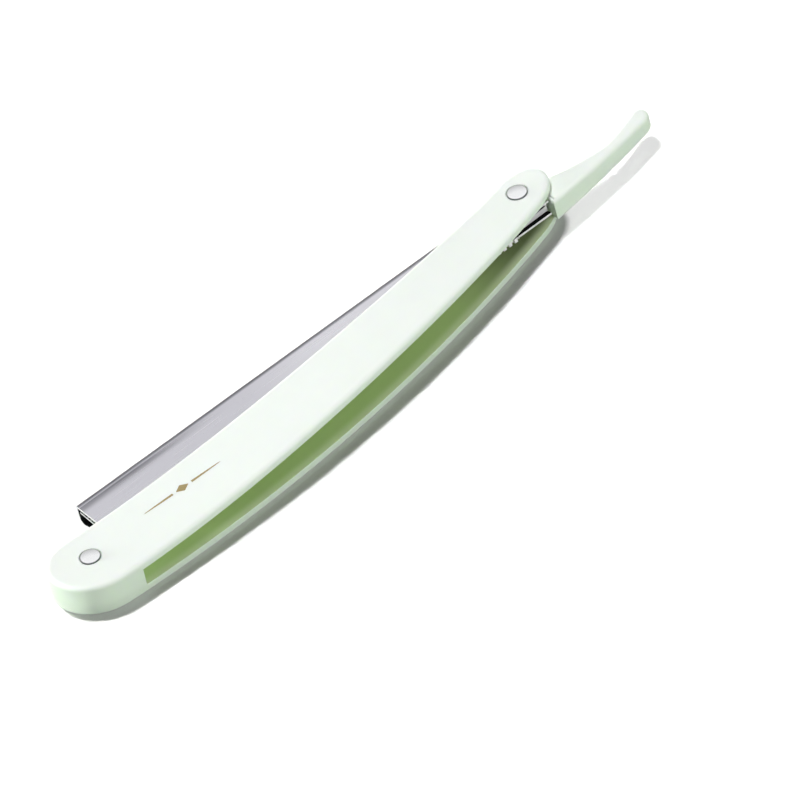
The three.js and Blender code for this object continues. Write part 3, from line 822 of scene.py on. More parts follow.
def bent_sheet(corners, bends, thickness):
    """A sheet bent along a line of corners, as its outer and inner line. It lies to the line's left."""
    outer = [corners[0]]
    normals = [left_of(corners[0], corners[1])]
    for i, bend in enumerate(bends, start=1):
        into = left_of(corners[i - 1], corners[i])
        away = left_of(corners[i], corners[i + 1])
        turn = math.acos(into.dot(away))
        centre = corners[i] + (into + away).normalized() * (bend / math.cos(turn / 2))
        for step in range(BEND_STEPS + 1):
            normal = Matrix.Rotation(turn * step / BEND_STEPS, 2) @ into
            outer.append(centre - normal * bend)
            normals.append(normal)
    outer.append(corners[-1])
    normals.append(left_of(corners[-2], corners[-1]))
    return outer, [point + normal * thickness for point, normal in zip(outer, normals)]


def sheet_along(name, lines, stations):
    """Runs a bent sheet, drawn in y and z, along x through the given stations."""
    outer, inner = lines
    count = len(outer)
    points = [Vector((x, point.x, point.y)) for x in stations for point in (*outer, *inner)]
    faces = []
    ring = [*range(count), *reversed(range(count, 2 * count))]
    last = (len(stations) - 1) * 2 * count
    for low in range(0, last, 2 * count):
        high = low + 2 * count
        for a, b in zip(ring, [*ring[1:], ring[0]]):
            faces.append((low + a, low + b, high + b, high + a))
    for i in range(count - 1):
        cap = (i, count + i, count + i + 1, i + 1)
        faces.append(cap)
        faces.append(tuple(last + corner for corner in reversed(cap)))
    return new_mesh(name, points, faces)


def prism_along(name, section, start, end):
    """Runs a convex section, drawn in y and z counter-clockwise, along x."""
    count = len(section)
    points = [Vector((x, y, z)) for x in (start, end) for y, z in section]
    faces = [tuple(reversed(range(count))), tuple(range(count, 2 * count))]
    for i in range(count):
        after = (i + 1) % count
        faces.append((i, after, count + after, count + i))
    return new_mesh(name, points, faces)


def box_mesh(name, low, high):
    section = [(low.y, low.z), (high.y, low.z), (high.y, high.z), (low.y, high.z)]
    return prism_along(name, section, low.x, high.x)


# Objects


def new_object(name, mesh):
    made = bpy.data.objects.new(name, mesh)
    bpy.context.scene.collection.objects.link(made)
    return made


def evaluated_mesh(made):
    """The object's mesh with its modifiers, as a plain mesh; the modifiers are taken off."""
    graph = bpy.context.evaluated_depsgraph_get()
    mesh = bpy.data.meshes.new_from_object(made.evaluated_get(graph), depsgraph=graph)
    made.modifiers.clear()
    if not mesh.polygons:
        raise RuntimeError(f"{made.name} has no faces left")
    return mesh


def joined_by(operation, mesh, *tools):
    """Cuts the tool meshes out of a mesh or adds them to it."""
    made = new_object("blank", mesh)
    helpers = []
    for tool in tools:
        helper = new_object("tool", tool)
        helpers.append(helper)
        step = made.modifiers.new("step", "BOOLEAN")
        step.operation = operation
        step.solver = "MANIFOLD"
        step.object = helper
    result = evaluated_mesh(made)
    for helper in [made, *helpers]:
        bpy.data.objects.remove(helper)
    return result


def finish_piece(node, mesh, matrix, material, body, slot):
    """Puts a finished mesh in its place and lets it stand for its CAD node."""
    mesh.transform(matrix)
    mesh.shade_smooth()
    mesh.set_sharp_from_angle(angle=SHARP_ANGLE)
    if slot == "mint_plastic":
        mark_rims(mesh)
    if not mesh.materials:
        mesh.materials.append(material)
    mesh.materials[0] = material
    piece = new_object(f"{node}_finished", mesh)
    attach(piece, body)
    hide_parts(node)
    return piece


def mark_rims(mesh):
    """Stores how far each corner of a face turns away from lying flat, for the painted glow on the plastic's
    rims.
    """
    rim = mesh.attributes.new("rim", "FLOAT", "CORNER")
    for i, normal in enumerate(mesh.corner_normals):
        rim.data[i].value = 1 - abs(normal.vector.z)


# Handle


def end_stations(end):
    """Pairs of points from the two ends of a curve to its middle."""
    shares = [step / END_STEPS / 2 for step in range(END_STEPS + 1)]
    return [(bezier(end, at), bezier(end, 1 - at)) for at in shares]


def handle_stations(razor):
    """The scales' outline as pairs of lower and upper points, from the rear end to the pivot end."""
    handle = razor.razor_handle
    half = handle.rivet_spacing / 2

    def edge(rear, middle, pivot):
        """The control points of a curve through three heights."""
        control = Vector((0, 2 * middle - (rear + pivot) / 2))
        return Vector((-half, rear)), control, Vector((half, pivot))

    lower = edge(-handle.bottom_at_rear, -handle.bottom_at_middle, -handle.bottom_at_pivot)
    upper = edge(handle.top_at_rear, handle.top_at_middle, handle.top_at_pivot)

    def round_end(end, cap):
        """The curve round one end of the handle, from its lower to its upper edge."""
        controls = []
        for line in (lower, upper):
            onward = (line[end] - line[1]).normalized()
            controls.append(line[end] + onward * (HANDLE_FOR_REACH * cap))
        return (lower[end], *controls, upper[end])

    stations = end_stations(round_end(0, handle.rear_cap))[:0:-1]
    for step in range(SIDE_STEPS):
        at = step / SIDE_STEPS
        stations.append((bezier(lower, at), bezier(upper, at)))
    return stations + end_stations(round_end(-1, handle.pivot_cap))


def rivet_heights(razor, slot):
    """Heights along a rivet, from the middle of the slot."""
    rivets = razor.razor_rivets
    face = slot / 2 + razor.razor_handle.scale_thickness
    clinch = -face + rivets.clinch_recess
    burr = clinch + rivets.clinch_height + rivets.stack_play
    return {
        "face": face,
        "head_floor": face - rivets.head_seat,
        "clinch": clinch,
        "burr": burr,
        "recess_floor": burr + rivets.burr_thickness + rivets.stack_play,
    }


def scale_tools(razor, matrix):
    """The holes and recesses for both rivets, in the frame of one scale."""
    rivets = razor.razor_rivets
    tools = []
    for station, slot in rivet_matrices(razor).values():
        at = rivet_heights(razor, slot)
        beyond = 2 * at["face"]
        head = rivets.head_radius + rivets.recess_play
        burr = rivets.burr_radius + rivets.recess_play
        broken = rivets.edge_break
        profile = [
            (0, -beyond),
            (burr + broken + beyond - at["face"], -beyond),
            (burr + broken, -at["face"]),
            (burr, -at["face"] + broken),
            (burr, at["recess_floor"]),
            (rivets.shank_radius + rivets.hole_play, at["recess_floor"]),
            (rivets.shank_radius + rivets.hole_play, at["head_floor"]),
            (head, at["head_floor"]),
            (head, at["face"] - broken),
            (head + broken, at["face"]),
            (head + broken + beyond - at["face"], beyond),
            (0, beyond),
        ]
        tool = turned_mesh("rivet_room", profile)
        tool.transform(matrix.inverted() @ station)
        tools.append(tool)
    return tools


def mark_slot_depth(mesh, outline, inner_height):
    """Stores how deep in the slot each point of the inner face lies, and leaves 0 on all others.

    The depth starts above 0, so that the painted light of the slot's faces reaches right up to the rim.
    """
    rim = [*outline, outline[0]]
    depth = mesh.attributes.new("slot_depth", "FLOAT", "POINT")
    for i, vertex in enumerate(mesh.vertices):
        if abs(vertex.co.z - inner_height(vertex.co.x)) < FACE_TOLERANCE:
            depth.data[i].value = SLOT_DEPTH_AT_RIM + distance_to(rim, vertex.co.xy)


class RAZOR_OT_scales(bpy.types.Operator):
    """Moulds the front and the rear scale, with recesses for the rivets"""

    bl_idname = "razor.scales"
    bl_label = "Scales"

    def execute(self, context):
        razor = context.scene
        handle = razor.razor_handle
        stations = handle_stations(razor)
        plastic = existing("moulded_mint_acetate", mint_plastic)
        thickness = handle.scale_thickness

        def level(height):
            return lambda x: height

        def bowed(height):
            return lambda x: height + bow_at(razor, x)

        plates = (
            ("rear_scale", Matrix.Identity(4), level, handle.rest_round, 0.0, thickness),
            ("front_scale", front_matrix(razor), bowed, 0.0, handle.edge_round, 0.0),
        )
        for node, matrix, surface, floor_round, roof_round, inner_height in plates:
            plate = slab(node, stations, surface(0.0), surface(thickness), floor_round, roof_round)
            mesh = joined_by("DIFFERENCE", plate, *scale_tools(razor, matrix))
            mark_slot_depth(mesh, outline_of(stations), surface(inner_height))
            finish_piece(node, mesh, matrix, plastic, "handle", "mint_plastic")
        return {"FINISHED"}


class RAZOR_OT_spacer(bpy.types.Operator):
    """Moulds the block that closes the rear end of the slot"""

    bl_idname = "razor.spacer"
    bl_label = "Spacer"

    def execute(self, context):
        razor = context.scene
        handle = razor.razor_handle
        rivets = razor.razor_rivets
        station, slot = rivet_matrices(razor)["rear"]
        front = -handle.rivet_spacing / 2 + handle.spacer_reach

        def floor(x):
            return handle.scale_thickness

        def roof(x):
            return handle.scale_thickness + slot_at(razor, x) + bow_at(razor, x)

        block = slab("end_spacer", handle_stations(razor), floor, roof, 0.0, 0.0)
        far = handle.rivet_spacing
        rest = box_mesh("rest", Vector((front, -far, -far)), Vector((2 * far, far, far)))
        hole = pin("hole", rivets.shank_radius + rivets.hole_play, -far, far)
        hole.transform(station)
        mesh = joined_by("DIFFERENCE", block, rest, hole)
        plastic = existing("moulded_mint_acetate", mint_plastic)
        finish_piece("end_spacer", mesh, Matrix.Identity(4), plastic, "handle", "mint_plastic")
        return {"FINISHED"}


def ring_profile(outer, inner, bottom, top, broken):
    """A washer's section with broken outer corners."""
    return [
        (inner, bottom),
        (outer - broken, bottom),
        (outer, bottom + broken),
        (outer, top - broken),
        (outer - broken, top),
        (inner, top),
    ]


def rivet_profile(razor, slot):
    """Half section of a rivet: rolled end below, shank, bevelled and domed head above."""
    rivets = razor.razor_rivets
    at = rivet_heights(razor, slot)
    bottom = at["clinch"]
    bore_top = bottom + rivets.bore_depth
    top_of_roll = bottom + rivets.clinch_height
    seat = at["head_floor"] + rivets.stack_play
    dome_radius = rivets.head_radius - rivets.head_bevel
    shoulder = seat + rivets.head_height - rivets.head_bevel / 3
    roll = (
        (rivets.bore_radius, top_of_roll),
        (rivets.bore_radius, bottom),
        (rivets.clinch_radius, bottom),
        (rivets.clinch_radius, top_of_roll),
    )
    bevel = (
        (rivets.head_radius, seat + rivets.head_rim),
        (rivets.head_radius, shoulder - rivets.edge_break),
        (dome_radius, shoulder),
    )
    profile = [
        (0, bore_top),
        (rivets.bore_radius, bore_top),
        *curve(roll, 2 * ROUND_STEPS),
        (rivets.shank_radius, top_of_roll),
        (rivets.shank_radius, seat),
        (rivets.head_radius - rivets.edge_break, seat),
        (rivets.head_radius, seat + rivets.edge_break),
        *curve(bevel, ROUND_STEPS),
    ]
    for step in range(1, ROUND_STEPS + 1):
        outwards = 1 - step / ROUND_STEPS
        crown = (rivets.head_height + seat - shoulder) * (1 - outwards**2)
        profile.append((dome_radius * outwards, shoulder + crown))
    return profile


def mark_from_axis(mesh, radius):
    """Stores how far out each point lies, as a share of the head's radius."""
    from_axis = mesh.attributes.new("from_axis", "FLOAT", "POINT")
    for i, vertex in enumerate(mesh.vertices):
        from_axis.data[i].value = vertex.co.xy.length / radius


class RAZOR_OT_rivets(bpy.types.Operator):
    """Turns the two semi-tubular rivets and the burrs under their rolled ends"""

    bl_idname = "razor.rivets"
    bl_label = "Rivets"

    def execute(self, context):
        razor = context.scene
        rivets = razor.razor_rivets
        nickel = existing("bright_nickel_plate", nickel_plate)
        for name, (station, slot) in rivet_matrices(razor).items():
            mesh = turned_mesh(f"{name}_rivet", rivet_profile(razor, slot))
            mark_from_axis(mesh, rivets.head_radius)
            finish_piece(f"{name}_rivet", mesh, station, nickel, "handle", "nickel_plate")
            bottom = rivet_heights(razor, slot)["burr"]
            profile = ring_profile(
                rivets.burr_radius,
                rivets.shank_radius + rivets.stack_play,
                bottom,
                bottom + rivets.burr_thickness,
                rivets.edge_break,
            )
            burr = turned_mesh(f"{name}_rivet_burr", profile, closed=True)
            finish_piece(f"{name}_rivet_burr", burr, station, nickel, "handle", "nickel_plate")
        return {"FINISHED"}


class RAZOR_OT_washers(bpy.types.Operator):
    """Turns the two thin washers that keep the arm in the middle of the slot"""

    bl_idname = "razor.washers"
    bl_label = "Pivot Washers"

    def execute(self, context):
        razor = context.scene
        rivets = razor.razor_rivets
        nickel = existing("bright_nickel_plate", nickel_plate)
        station, slot = rivet_matrices(razor)["pivot"]
        outside = slot / 2 - rivets.stack_play
        inner = rivets.shank_radius + rivets.hole_play
        thickness = rivets.washer_thickness
        for node, bottom in (("front_pivot_washer", outside - thickness), ("rear_pivot_washer", -outside)):
            profile = ring_profile(rivets.washer_radius, inner, bottom, bottom + thickness, rivets.edge_break)
            mesh = turned_mesh(node, profile, closed=True)
            finish_piece(node, mesh, station, nickel, "handle", "nickel_plate")
        return {"FINISHED"}


# Blade holder


class Leaves:
    """Heights of the holder's leaves across the arm, in the arm's own frame."""

    def __init__(self, holder):
        width = holder.spine_rise + holder.mouth_drop
        self.holder = holder
        self.front_slope = (holder.front_spine - holder.front_mouth) / width
        self.rear_slope = (holder.rear_spine - holder.rear_mouth) / width
        self.rear_lean = math.atan(self.rear_slope)
        self.flange_face = holder.spine_rise - holder.sheet_thickness - holder.weld_gap
        self.clamp_edge = -holder.mouth_drop + holder.leaf_mouth_setback
        stack = 2 * holder.blade_play + holder.blade_thickness + holder.leaf_thickness
        edge_height = self.rear_inner(self.clamp_edge) + stack / math.cos(self.rear_lean)
        self.clamp_slope = (holder.leaf_top - edge_height) / (self.flange_face - self.clamp_edge)

    def rear_outer(self, y):
        return -self.holder.rear_spine + self.rear_slope * (self.holder.spine_rise - y)

    def rear_inner(self, y):
        return self.rear_outer(y) + self.holder.sheet_thickness / math.cos(self.rear_lean)

    def front_inner(self, y):
        outer = self.holder.front_spine - self.front_slope * (self.holder.spine_rise - y)
        return outer - self.holder.sheet_thickness / math.cos(math.atan(self.front_slope))

    def clamp_outer(self, y):
        return self.holder.leaf_top - self.clamp_slope * (self.flange_face - y)

    def clamp_inner(self, y):
        return self.clamp_outer(y) - self.holder.leaf_thickness / math.cos(math.atan(self.clamp_slope))


def pivot_hole(razor):
    far = razor.razor_handle.slot_at_pivot
    return pin("pivot_hole", razor.razor_rivets.shank_radius + razor.razor_holder.arm_play, -far, far)


def comb_tree():
    """Cuts a row of round-rooted gaps into the edge of a sheet, one pitch apart."""
    tree = bpy.data.node_groups.new("guard_comb", "GeometryNodeTree")
    tree.interface.new_socket("Geometry", in_out="OUTPUT", socket_type="NodeSocketGeometry")
    tree.interface.new_socket("Geometry", in_out="INPUT", socket_type="NodeSocketGeometry")
    for name in ("Pitch", "Gap Width", "Gap Depth", "Gap Height", "Start", "Mouth", "Level"):
        tree.interface.new_socket(name, in_out="INPUT", socket_type="NodeSocketFloat")
    tree.interface.new_socket("Gap Count", in_out="INPUT", socket_type="NodeSocketInt")
    tree.interface.new_socket("Material", in_out="INPUT", socket_type="NodeSocketMaterial")
    given = add_node(tree, "NodeGroupInput").outputs
    sums = {}
    for part, start, factor in (
        ("radius", given["Gap Width"], 0.5),
        ("half_depth", given["Gap Depth"], -0.5),
        ("back", given["Pitch"], -1.0),
    ):
        sums[part] = add_node(tree, "ShaderNodeMath", {0: start, 1: factor}, operation="MULTIPLY").outputs[0]
    mouth = add_node(
        tree, "ShaderNodeMath", {0: given["Mouth"], 1: sums["radius"]}, operation="SUBTRACT"
    ).outputs[0]
    vectors = {}
    for part, sides in (
        ("box", {"X": given["Gap Width"], "Y": given["Gap Depth"], "Z": given["Gap Height"]}),
        ("outwards", {"Y": sums["half_depth"]}),
        ("first", {"X": given["Start"], "Y": mouth, "Z": given["Level"]}),
        ("step", {"X": sums["back"]}),
    ):
        vectors[part] = add_node(tree, "ShaderNodeCombineXYZ", sides).outputs[0]
    root = add_node(
        tree,
        "GeometryNodeMeshCylinder",
        {"Vertices": GAP_STEPS, "Radius": sums["radius"], "Depth": given["Gap Height"]},
    ).outputs["Mesh"]
    cube = add_node(tree, "GeometryNodeMeshCube", {"Size": vectors["box"]}).outputs["Mesh"]
    straight = add_node(
        tree, "GeometryNodeTransform", {"Geometry": cube, "Translation": vectors["outwards"]}
    ).outputs["Geometry"]
    gap = add_node(tree, "GeometryNodeMeshBoolean", {"Mesh 2": root}, operation="UNION", solver="MANIFOLD")
    tree.links.new(straight, gap.inputs["Mesh 2"])
    row = add_node(
        tree,
        "GeometryNodeMeshLine",
        {"Count": given["Gap Count"], "Start Location": vectors["first"], "Offset": vectors["step"]},
        mode="OFFSET",
    ).outputs["Mesh"]
    gaps = add_node(
        tree, "GeometryNodeInstanceOnPoints", {"Points": row, "Instance": gap.outputs["Mesh"]}
    ).outputs["Instances"]
    cutters = add_node(tree, "GeometryNodeRealizeInstances", {"Geometry": gaps}).outputs["Geometry"]
    comb = add_node(
        tree,
        "GeometryNodeMeshBoolean",
        {"Mesh 1": given["Geometry"], "Mesh 2": cutters},
        operation="DIFFERENCE",
        solver="MANIFOLD",
    ).outputs["Mesh"]
    plain = add_node(tree, "GeometryNodeRealizeInstances", {"Geometry": comb}).outputs["Geometry"]
    painted = add_node(
        tree, "GeometryNodeSetMaterial", {"Geometry": plain, "Material": given["Material"]}
    ).outputs["Geometry"]
    add_node(tree, "NodeGroupOutput", {"Geometry": painted})
    return tree


def through_tree(mesh, tree, values):
    """Runs a mesh through a Geometry Nodes tree and gives back a plain mesh."""
    made = new_object("blank", mesh)
    step = made.modifiers.new("nodes", "NODES")
    step.node_group = tree
    for item in tree.interface.items_tree:
        if item.in_out == "INPUT" and item.name in values:
            step[item.identifier] = values[item.name]
    made.data.update()
    result = evaluated_mesh(made)
    bpy.data.objects.remove(made)
    return result


def paint_sheet(mesh, lines, outside_steel, inside_steel):
    """Gives a sheet one material outside, one on its cut ends and open edges, partly a painted highlight, and
    one on its inner line, painted shade.
    """
    outer, inner = lines
    mesh.materials.clear()
    for steel in (outside_steel, existing("sheared_highlight_steel", sheared_highlight_steel), inside_steel):
        mesh.materials.append(steel)
    outside, cut, inside = range(3)
    for face in mesh.polygons:
        centre = face.center.yz
        open_edge = centre.x < 0 and face.normal.y < -SQUARE_ON
        if abs(face.normal.x) > SQUARE_ON or open_edge:
            face.material_index = cut
        elif distance_to(inner, centre) < distance_to(outer, centre):
            face.material_index = inside
        else:
            face.material_index = outside


def towards_heel(x, holder):
    """From 0, where the upper leaves start to stand open for the blade's end, to 1 at the heel."""
    return max(0.0, (x + holder.flare_reach) / (holder.heel_reach + holder.flare_reach))


def flare(y, holder, rise):
    """How far a leaf that stands open by a rise at its edge is lifted at a place across the arm."""
    return rise * (holder.spine_rise - y) / (holder.spine_rise + holder.mouth_drop)


class RAZOR_OT_sheath(bpy.types.Operator):
    """Folds the blade sheath from one sheet and cuts the guard comb into its rear leaf"""

    bl_idname = "razor.sheath"
    bl_label = "Blade Sheath"

    def execute(self, context):
        razor = context.scene
        holder = razor.razor_holder
        leaves = Leaves(holder)
        tooth_tip = -holder.mouth_drop - holder.tooth_length
        lines = bent_sheet(
            [
                Vector((tooth_tip, leaves.rear_outer(tooth_tip))),
                Vector((holder.spine_rise, -holder.rear_spine)),
                Vector((holder.spine_rise, holder.front_spine)),
                Vector((-holder.mouth_drop, holder.front_mouth)),
            ],
            [holder.rear_bend, holder.front_bend],
            holder.sheet_thickness,
        )
        stations = (-holder.tip_reach, -holder.flare_reach, holder.heel_reach)
        sheet = sheet_along("blade_sheath", lines, stations)
        gap_depth = holder.tooth_length + holder.sheet_thickness
        below = -holder.rear_spine
        beside_pivot = box_mesh(
            "plain_edge",
            Vector((-holder.comb_start, -holder.mouth_drop - gap_depth, below)),
            Vector((2 * holder.heel_reach, -holder.mouth_drop, -holder.sheet_thickness / 2)),
        )
        sheet = joined_by("DIFFERENCE", sheet, pivot_hole(razor), beside_pivot)
        satin = existing("satin_sheet_steel", satin_steel)
        mesh = through_tree(
            sheet,
            comb_tree(),
            {
                "Pitch": holder.comb_pitch,
                "Gap Width": holder.comb_gap,
                "Gap Depth": gap_depth,
                "Gap Height": holder.rear_spine,
                "Start": -holder.comb_start - holder.comb_gap / 2,
                "Mouth": -holder.mouth_drop,
                "Level": below / 2,
                "Gap Count": holder.comb_count,
                "Material": satin,
            },
        )
        paint_sheet(mesh, lines, satin, existing("painted_shade_steel", painted_shade_steel))
        for vertex in mesh.vertices:
            above_blade = vertex.co.z > -holder.rear_mouth / 2
            if above_blade:
                lift = flare(vertex.co.y, holder, holder.front_flare)
                vertex.co.z += lift * towards_heel(vertex.co.x, holder)
        finish_piece("blade_sheath", mesh, arm_matrix(razor), satin, "blade_arm", "satin_steel")
        return {"FINISHED"}


class RAZOR_OT_clamp_leaf(bpy.types.Operator):
    """Folds the spring leaf that holds the blade down, with its upturned tab"""

    bl_idname = "razor.clamp_leaf"
    bl_label = "Clamp Leaf"

    def execute(self, context):
        razor = context.scene
        holder = razor.razor_holder
        leaves = Leaves(holder)
        edge = leaves.clamp_edge
        face = leaves.flange_face
        lines = bent_sheet(
            [
                Vector((face, holder.leaf_top - holder.leaf_flange)),
                Vector((face, holder.leaf_top)),
                Vector((edge, leaves.clamp_outer(edge))),
            ],
            [holder.leaf_bend],
            holder.leaf_thickness,
        )
        heel = holder.heel_reach - holder.leaf_setback
        tip = -holder.tip_reach + holder.leaf_setback
        leaf = sheet_along("clamp_leaf", lines, (tip, -holder.flare_reach, heel))
        root = face - 2 * holder.leaf_bend
        section = [
            (edge, leaves.clamp_inner(edge)),
            (root, leaves.clamp_inner(root)),
            (root, leaves.front_inner(root) - holder.weld_gap),
            (edge, leaves.front_inner(edge) - holder.weld_gap),
        ]
        tab = prism_along("tab", section, heel - holder.tab_thickness, heel)
        whole = joined_by("UNION", leaf, tab)
        mesh = joined_by("DIFFERENCE", whole, pivot_hole(razor))
        spring = existing("spring_steel_strip", spring_steel)
        paint_sheet(mesh, lines, spring, existing("painted_shade_steel", painted_shade_steel))
        # The flange along the spine gets the painted shade of the sheath's inside too
        black = len(mesh.materials) - 1
        for polygon in mesh.polygons:
            on_flange = polygon.center.y > face - holder.leaf_bend
            if on_flange and polygon.center.z < holder.leaf_top - holder.leaf_bend / 2:
                polygon.material_index = black
        self.open_heel(mesh, leaves)
        finish_piece("clamp_leaf", mesh, arm_matrix(razor), spring, "blade_arm", "satin_steel")
        return {"FINISHED"}

    def open_heel(self, mesh, leaves):
        """Lifts the leaf towards the heel, where its edge is cut back and turned down into a lip."""
        holder = leaves.holder
        for vertex in mesh.vertices:
            along = towards_heel(vertex.co.x, holder)
            if vertex.co.y < leaves.clamp_edge + holder.leaf_thickness:
                underside = vertex.co.z < leaves.clamp_inner(vertex.co.y) + holder.leaf_thickness / 2
                vertex.co.y += holder.heel_setback * along
                vertex.co.z -= underside * holder.lip_drop * along
            vertex.co.z += flare(vertex.co.y, holder, holder.clamp_flare) * along


class RAZOR_OT_blade(bpy.types.Operator):
    """Grinds the strip blade that lies on the rear leaf"""

    bl_idname = "razor.blade"
    bl_label = "Blade"

    def execute(self, context):
        razor = context.scene
        holder = razor.razor_holder
        leaves = Leaves(holder)
        half = holder.blade_thickness / 2
        ground = -holder.blade_width + holder.blade_grind
        section = [(-holder.blade_width, 0.0), (ground, -half), (0.0, -half), (0.0, half), (ground, half)]
        tip = -holder.tip_reach + holder.blade_lead
        mesh = prism_along("blade", section, tip, tip + holder.blade_length)
        back = -holder.mouth_drop - holder.edge_proud + holder.blade_width * math.cos(leaves.rear_lean)
        lift = (holder.blade_play + half) / math.cos(leaves.rear_lean)
        mesh.transform(
            Matrix.Translation((0, back, leaves.rear_inner(back) + lift))
            @ Matrix.Rotation(-leaves.rear_lean, 4, "X")
        )
        steel = existing("ground_blade_steel", ground_steel)
        finish_piece("blade", mesh, arm_matrix(razor), steel, "blade_arm", "blade_steel")
        return {"FINISHED"}


# Tail


def tail_stations(razor):
    """The tail's outline as pairs of lower and upper points, from the shoulder to the end of the hook."""
    tail = razor.razor_tail
    shoulder = razor.razor_holder.heel_reach + tail.shoulder_gap
    tip_start = tail.reach - tail.tip_width / 2
    low_shoulder = Vector((shoulder, -tail.shoulder_bottom))
    high_shoulder = Vector((shoulder, tail.shoulder_top))
    low_tip = Vector((tip_start, tail.tip_top - tail.tip_width))
    high_tip = Vector((tip_start, tail.tip_top))
    onward = HANDLE_FOR_REACH * tail.tip_width / 2
    rise = (low_tip.y - low_shoulder.y) / (low_tip.x - low_shoulder.x)

    def hollowed(a, b, drop):
        return (a, (a + b) / 2 - Vector((0, 2 * drop)), b)

    lower = hollowed(low_shoulder, low_tip, tail.belly)
    waist_at = (tail.waist_reach - shoulder) / (tip_start - shoulder)
    waist = bezier(lower, waist_at) + Vector((0, tail.waist_width))
    upper = hollowed(high_shoulder, waist, tail.sag)
    hook = hollowed(waist, high_tip, tail.sag / 2)
    end = (
        low_tip,
        low_tip + Vector((onward, 2 * rise * onward)),
        high_tip + Vector((onward, rise * onward)),
        high_tip,
    )
    stations = []
    for step in range(TAIL_STEPS):
        at = step / TAIL_STEPS
        if at <= waist_at:
            high = bezier(upper, at / waist_at)
        else:
            high = bezier(hook, (at - waist_at) / (1 - waist_at))
        stations.append((bezier(lower, at), high))
    return stations + end_stations(end)


class RAZOR_OT_tail(bpy.types.Operator):
    """Moulds the hooked tail and the tongue that runs into the heel of the sheath"""

    bl_idname = "razor.tail"
    bl_label = "Tail"

    def execute(self, context):
        razor = context.scene
        tail = razor.razor_tail
        holder = razor.razor_holder
        leaves = Leaves(holder)
        shoulder = holder.heel_reach + tail.shoulder_gap

        def half(x):
            along = (x - shoulder) / (tail.reach - shoulder)
            return (tail.root_thickness + (tail.tip_thickness - tail.root_thickness) * along) / 2

        def under(x):
            return -half(x)

        stations = tail_stations(razor)
        middle = (stations[0][0] + stations[0][1]) / 2
        hook = slab("tail", [(middle, middle), *stations], under, half, tail.edge_round, tail.edge_round)
        high = leaves.flange_face - holder.leaf_thickness - tail.tongue_play
        in_bend = holder.spine_rise - holder.rear_bend
        drop = -tail.tongue_drop
        play = tail.tongue_play
        section = [
            (drop, leaves.rear_inner(drop) + play),
            (in_bend - play, leaves.rear_inner(in_bend) + 2 * play),
            (high, leaves.rear_inner(high) + holder.sheet_thickness + play),
            (high, leaves.clamp_inner(high) - 2 * play),
            (drop, leaves.clamp_inner(drop) - play),
        ]
        tongue = prism_along("tongue", section, -tail.tongue_length, shoulder + 2 * tail.edge_round)
        whole = joined_by("UNION", hook, tongue)
        mesh = joined_by("DIFFERENCE", whole, pivot_hole(razor))
        plastic = existing("moulded_mint_acetate", mint_plastic)
        mesh.materials.clear()
        for material in (plastic, existing("painted_shade_acetate", painted_shade_plastic)):
            mesh.materials.append(material)
        # The tongue inside the sheath gets the painted shade, the rest of the tail the plastic
        for face in mesh.polygons:
            face.material_index = int(face.center.x < shoulder - tail.shoulder_gap / 2)
        finish_piece("tail", mesh, arm_matrix(razor), plastic, "blade_arm", "mint_plastic")
        return {"FINISHED"}


# Ornament


class RAZOR_OT_foil(bpy.types.Operator):
    """Stamps a plain gold ornament on the front scale: a lozenge between two tapering rules"""

    bl_idname = "razor.foil"
    bl_label = "Foil Ornament"

    def execute(self, context):
        razor = context.scene
        foil = razor.razor_foil
        lozenge = foil.lozenge_length / 2
        steps = 2 * ROUND_STEPS
        strips = [[(-lozenge, 0.0), (0.0, foil.lozenge_width), (lozenge, 0.0)]]
        for side in (-1, 1):
            near = side * (lozenge + foil.rule_gap)
            far = near + side * foil.rule_length
            strip = []
            for step in range(steps + 1):
                at = step / steps
                strip.append((near + (far - near) * at, foil.rule_width * (1 - at) ** 0.5))
            strips.append(sorted(strip))
        turn = Matrix.Rotation(foil.turn, 2)
        top = razor.razor_handle.scale_thickness
        points = []
        faces = []
        for strip in strips:
            start = len(points)
            for x, width in strip:
                for side in (-1, 1):
                    for lift in (0.0, foil.thickness):
                        flat = turn @ Vector((x, side * max(width, foil.thickness) / 2)) + Vector(foil.place)
                        points.append(Vector((flat.x, flat.y, top + bow_at(razor, flat.x) + lift)))
            for rung in range(len(strip) - 1):
                low = start + 4 * rung
                for a, b in ((0, 2), (2, 3), (3, 1), (1, 0)):
                    faces.append((low + a, low + b, low + 4 + b, low + 4 + a))
            end = start + 4 * (len(strip) - 1)
            faces.append((start, start + 1, start + 3, start + 2))
            faces.append((end, end + 2, end + 3, end + 1))
        mesh = new_mesh("foil_ornament", points, faces)
        mesh.transform(front_matrix(razor))
        mesh.materials.append(existing("stamped_gold_foil", gold_foil))
        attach(new_object("foil_ornament", mesh), "handle")
        return {"FINISHED"}


# Stage


def seen_rays(tree):
    """1 for what the camera, a mirror or glass sees, and 0 for light on the object."""
    path = add_node(tree, "ShaderNodeLightPath").outputs
    seen = path["Is Camera Ray"]
    for kind in ("Is Glossy Ray", "Is Transmission Ray"):
        seen = add_node(tree, "ShaderNodeMath", {0: seen, 1: path[kind]}, operation="MAXIMUM").outputs[0]
    return seen


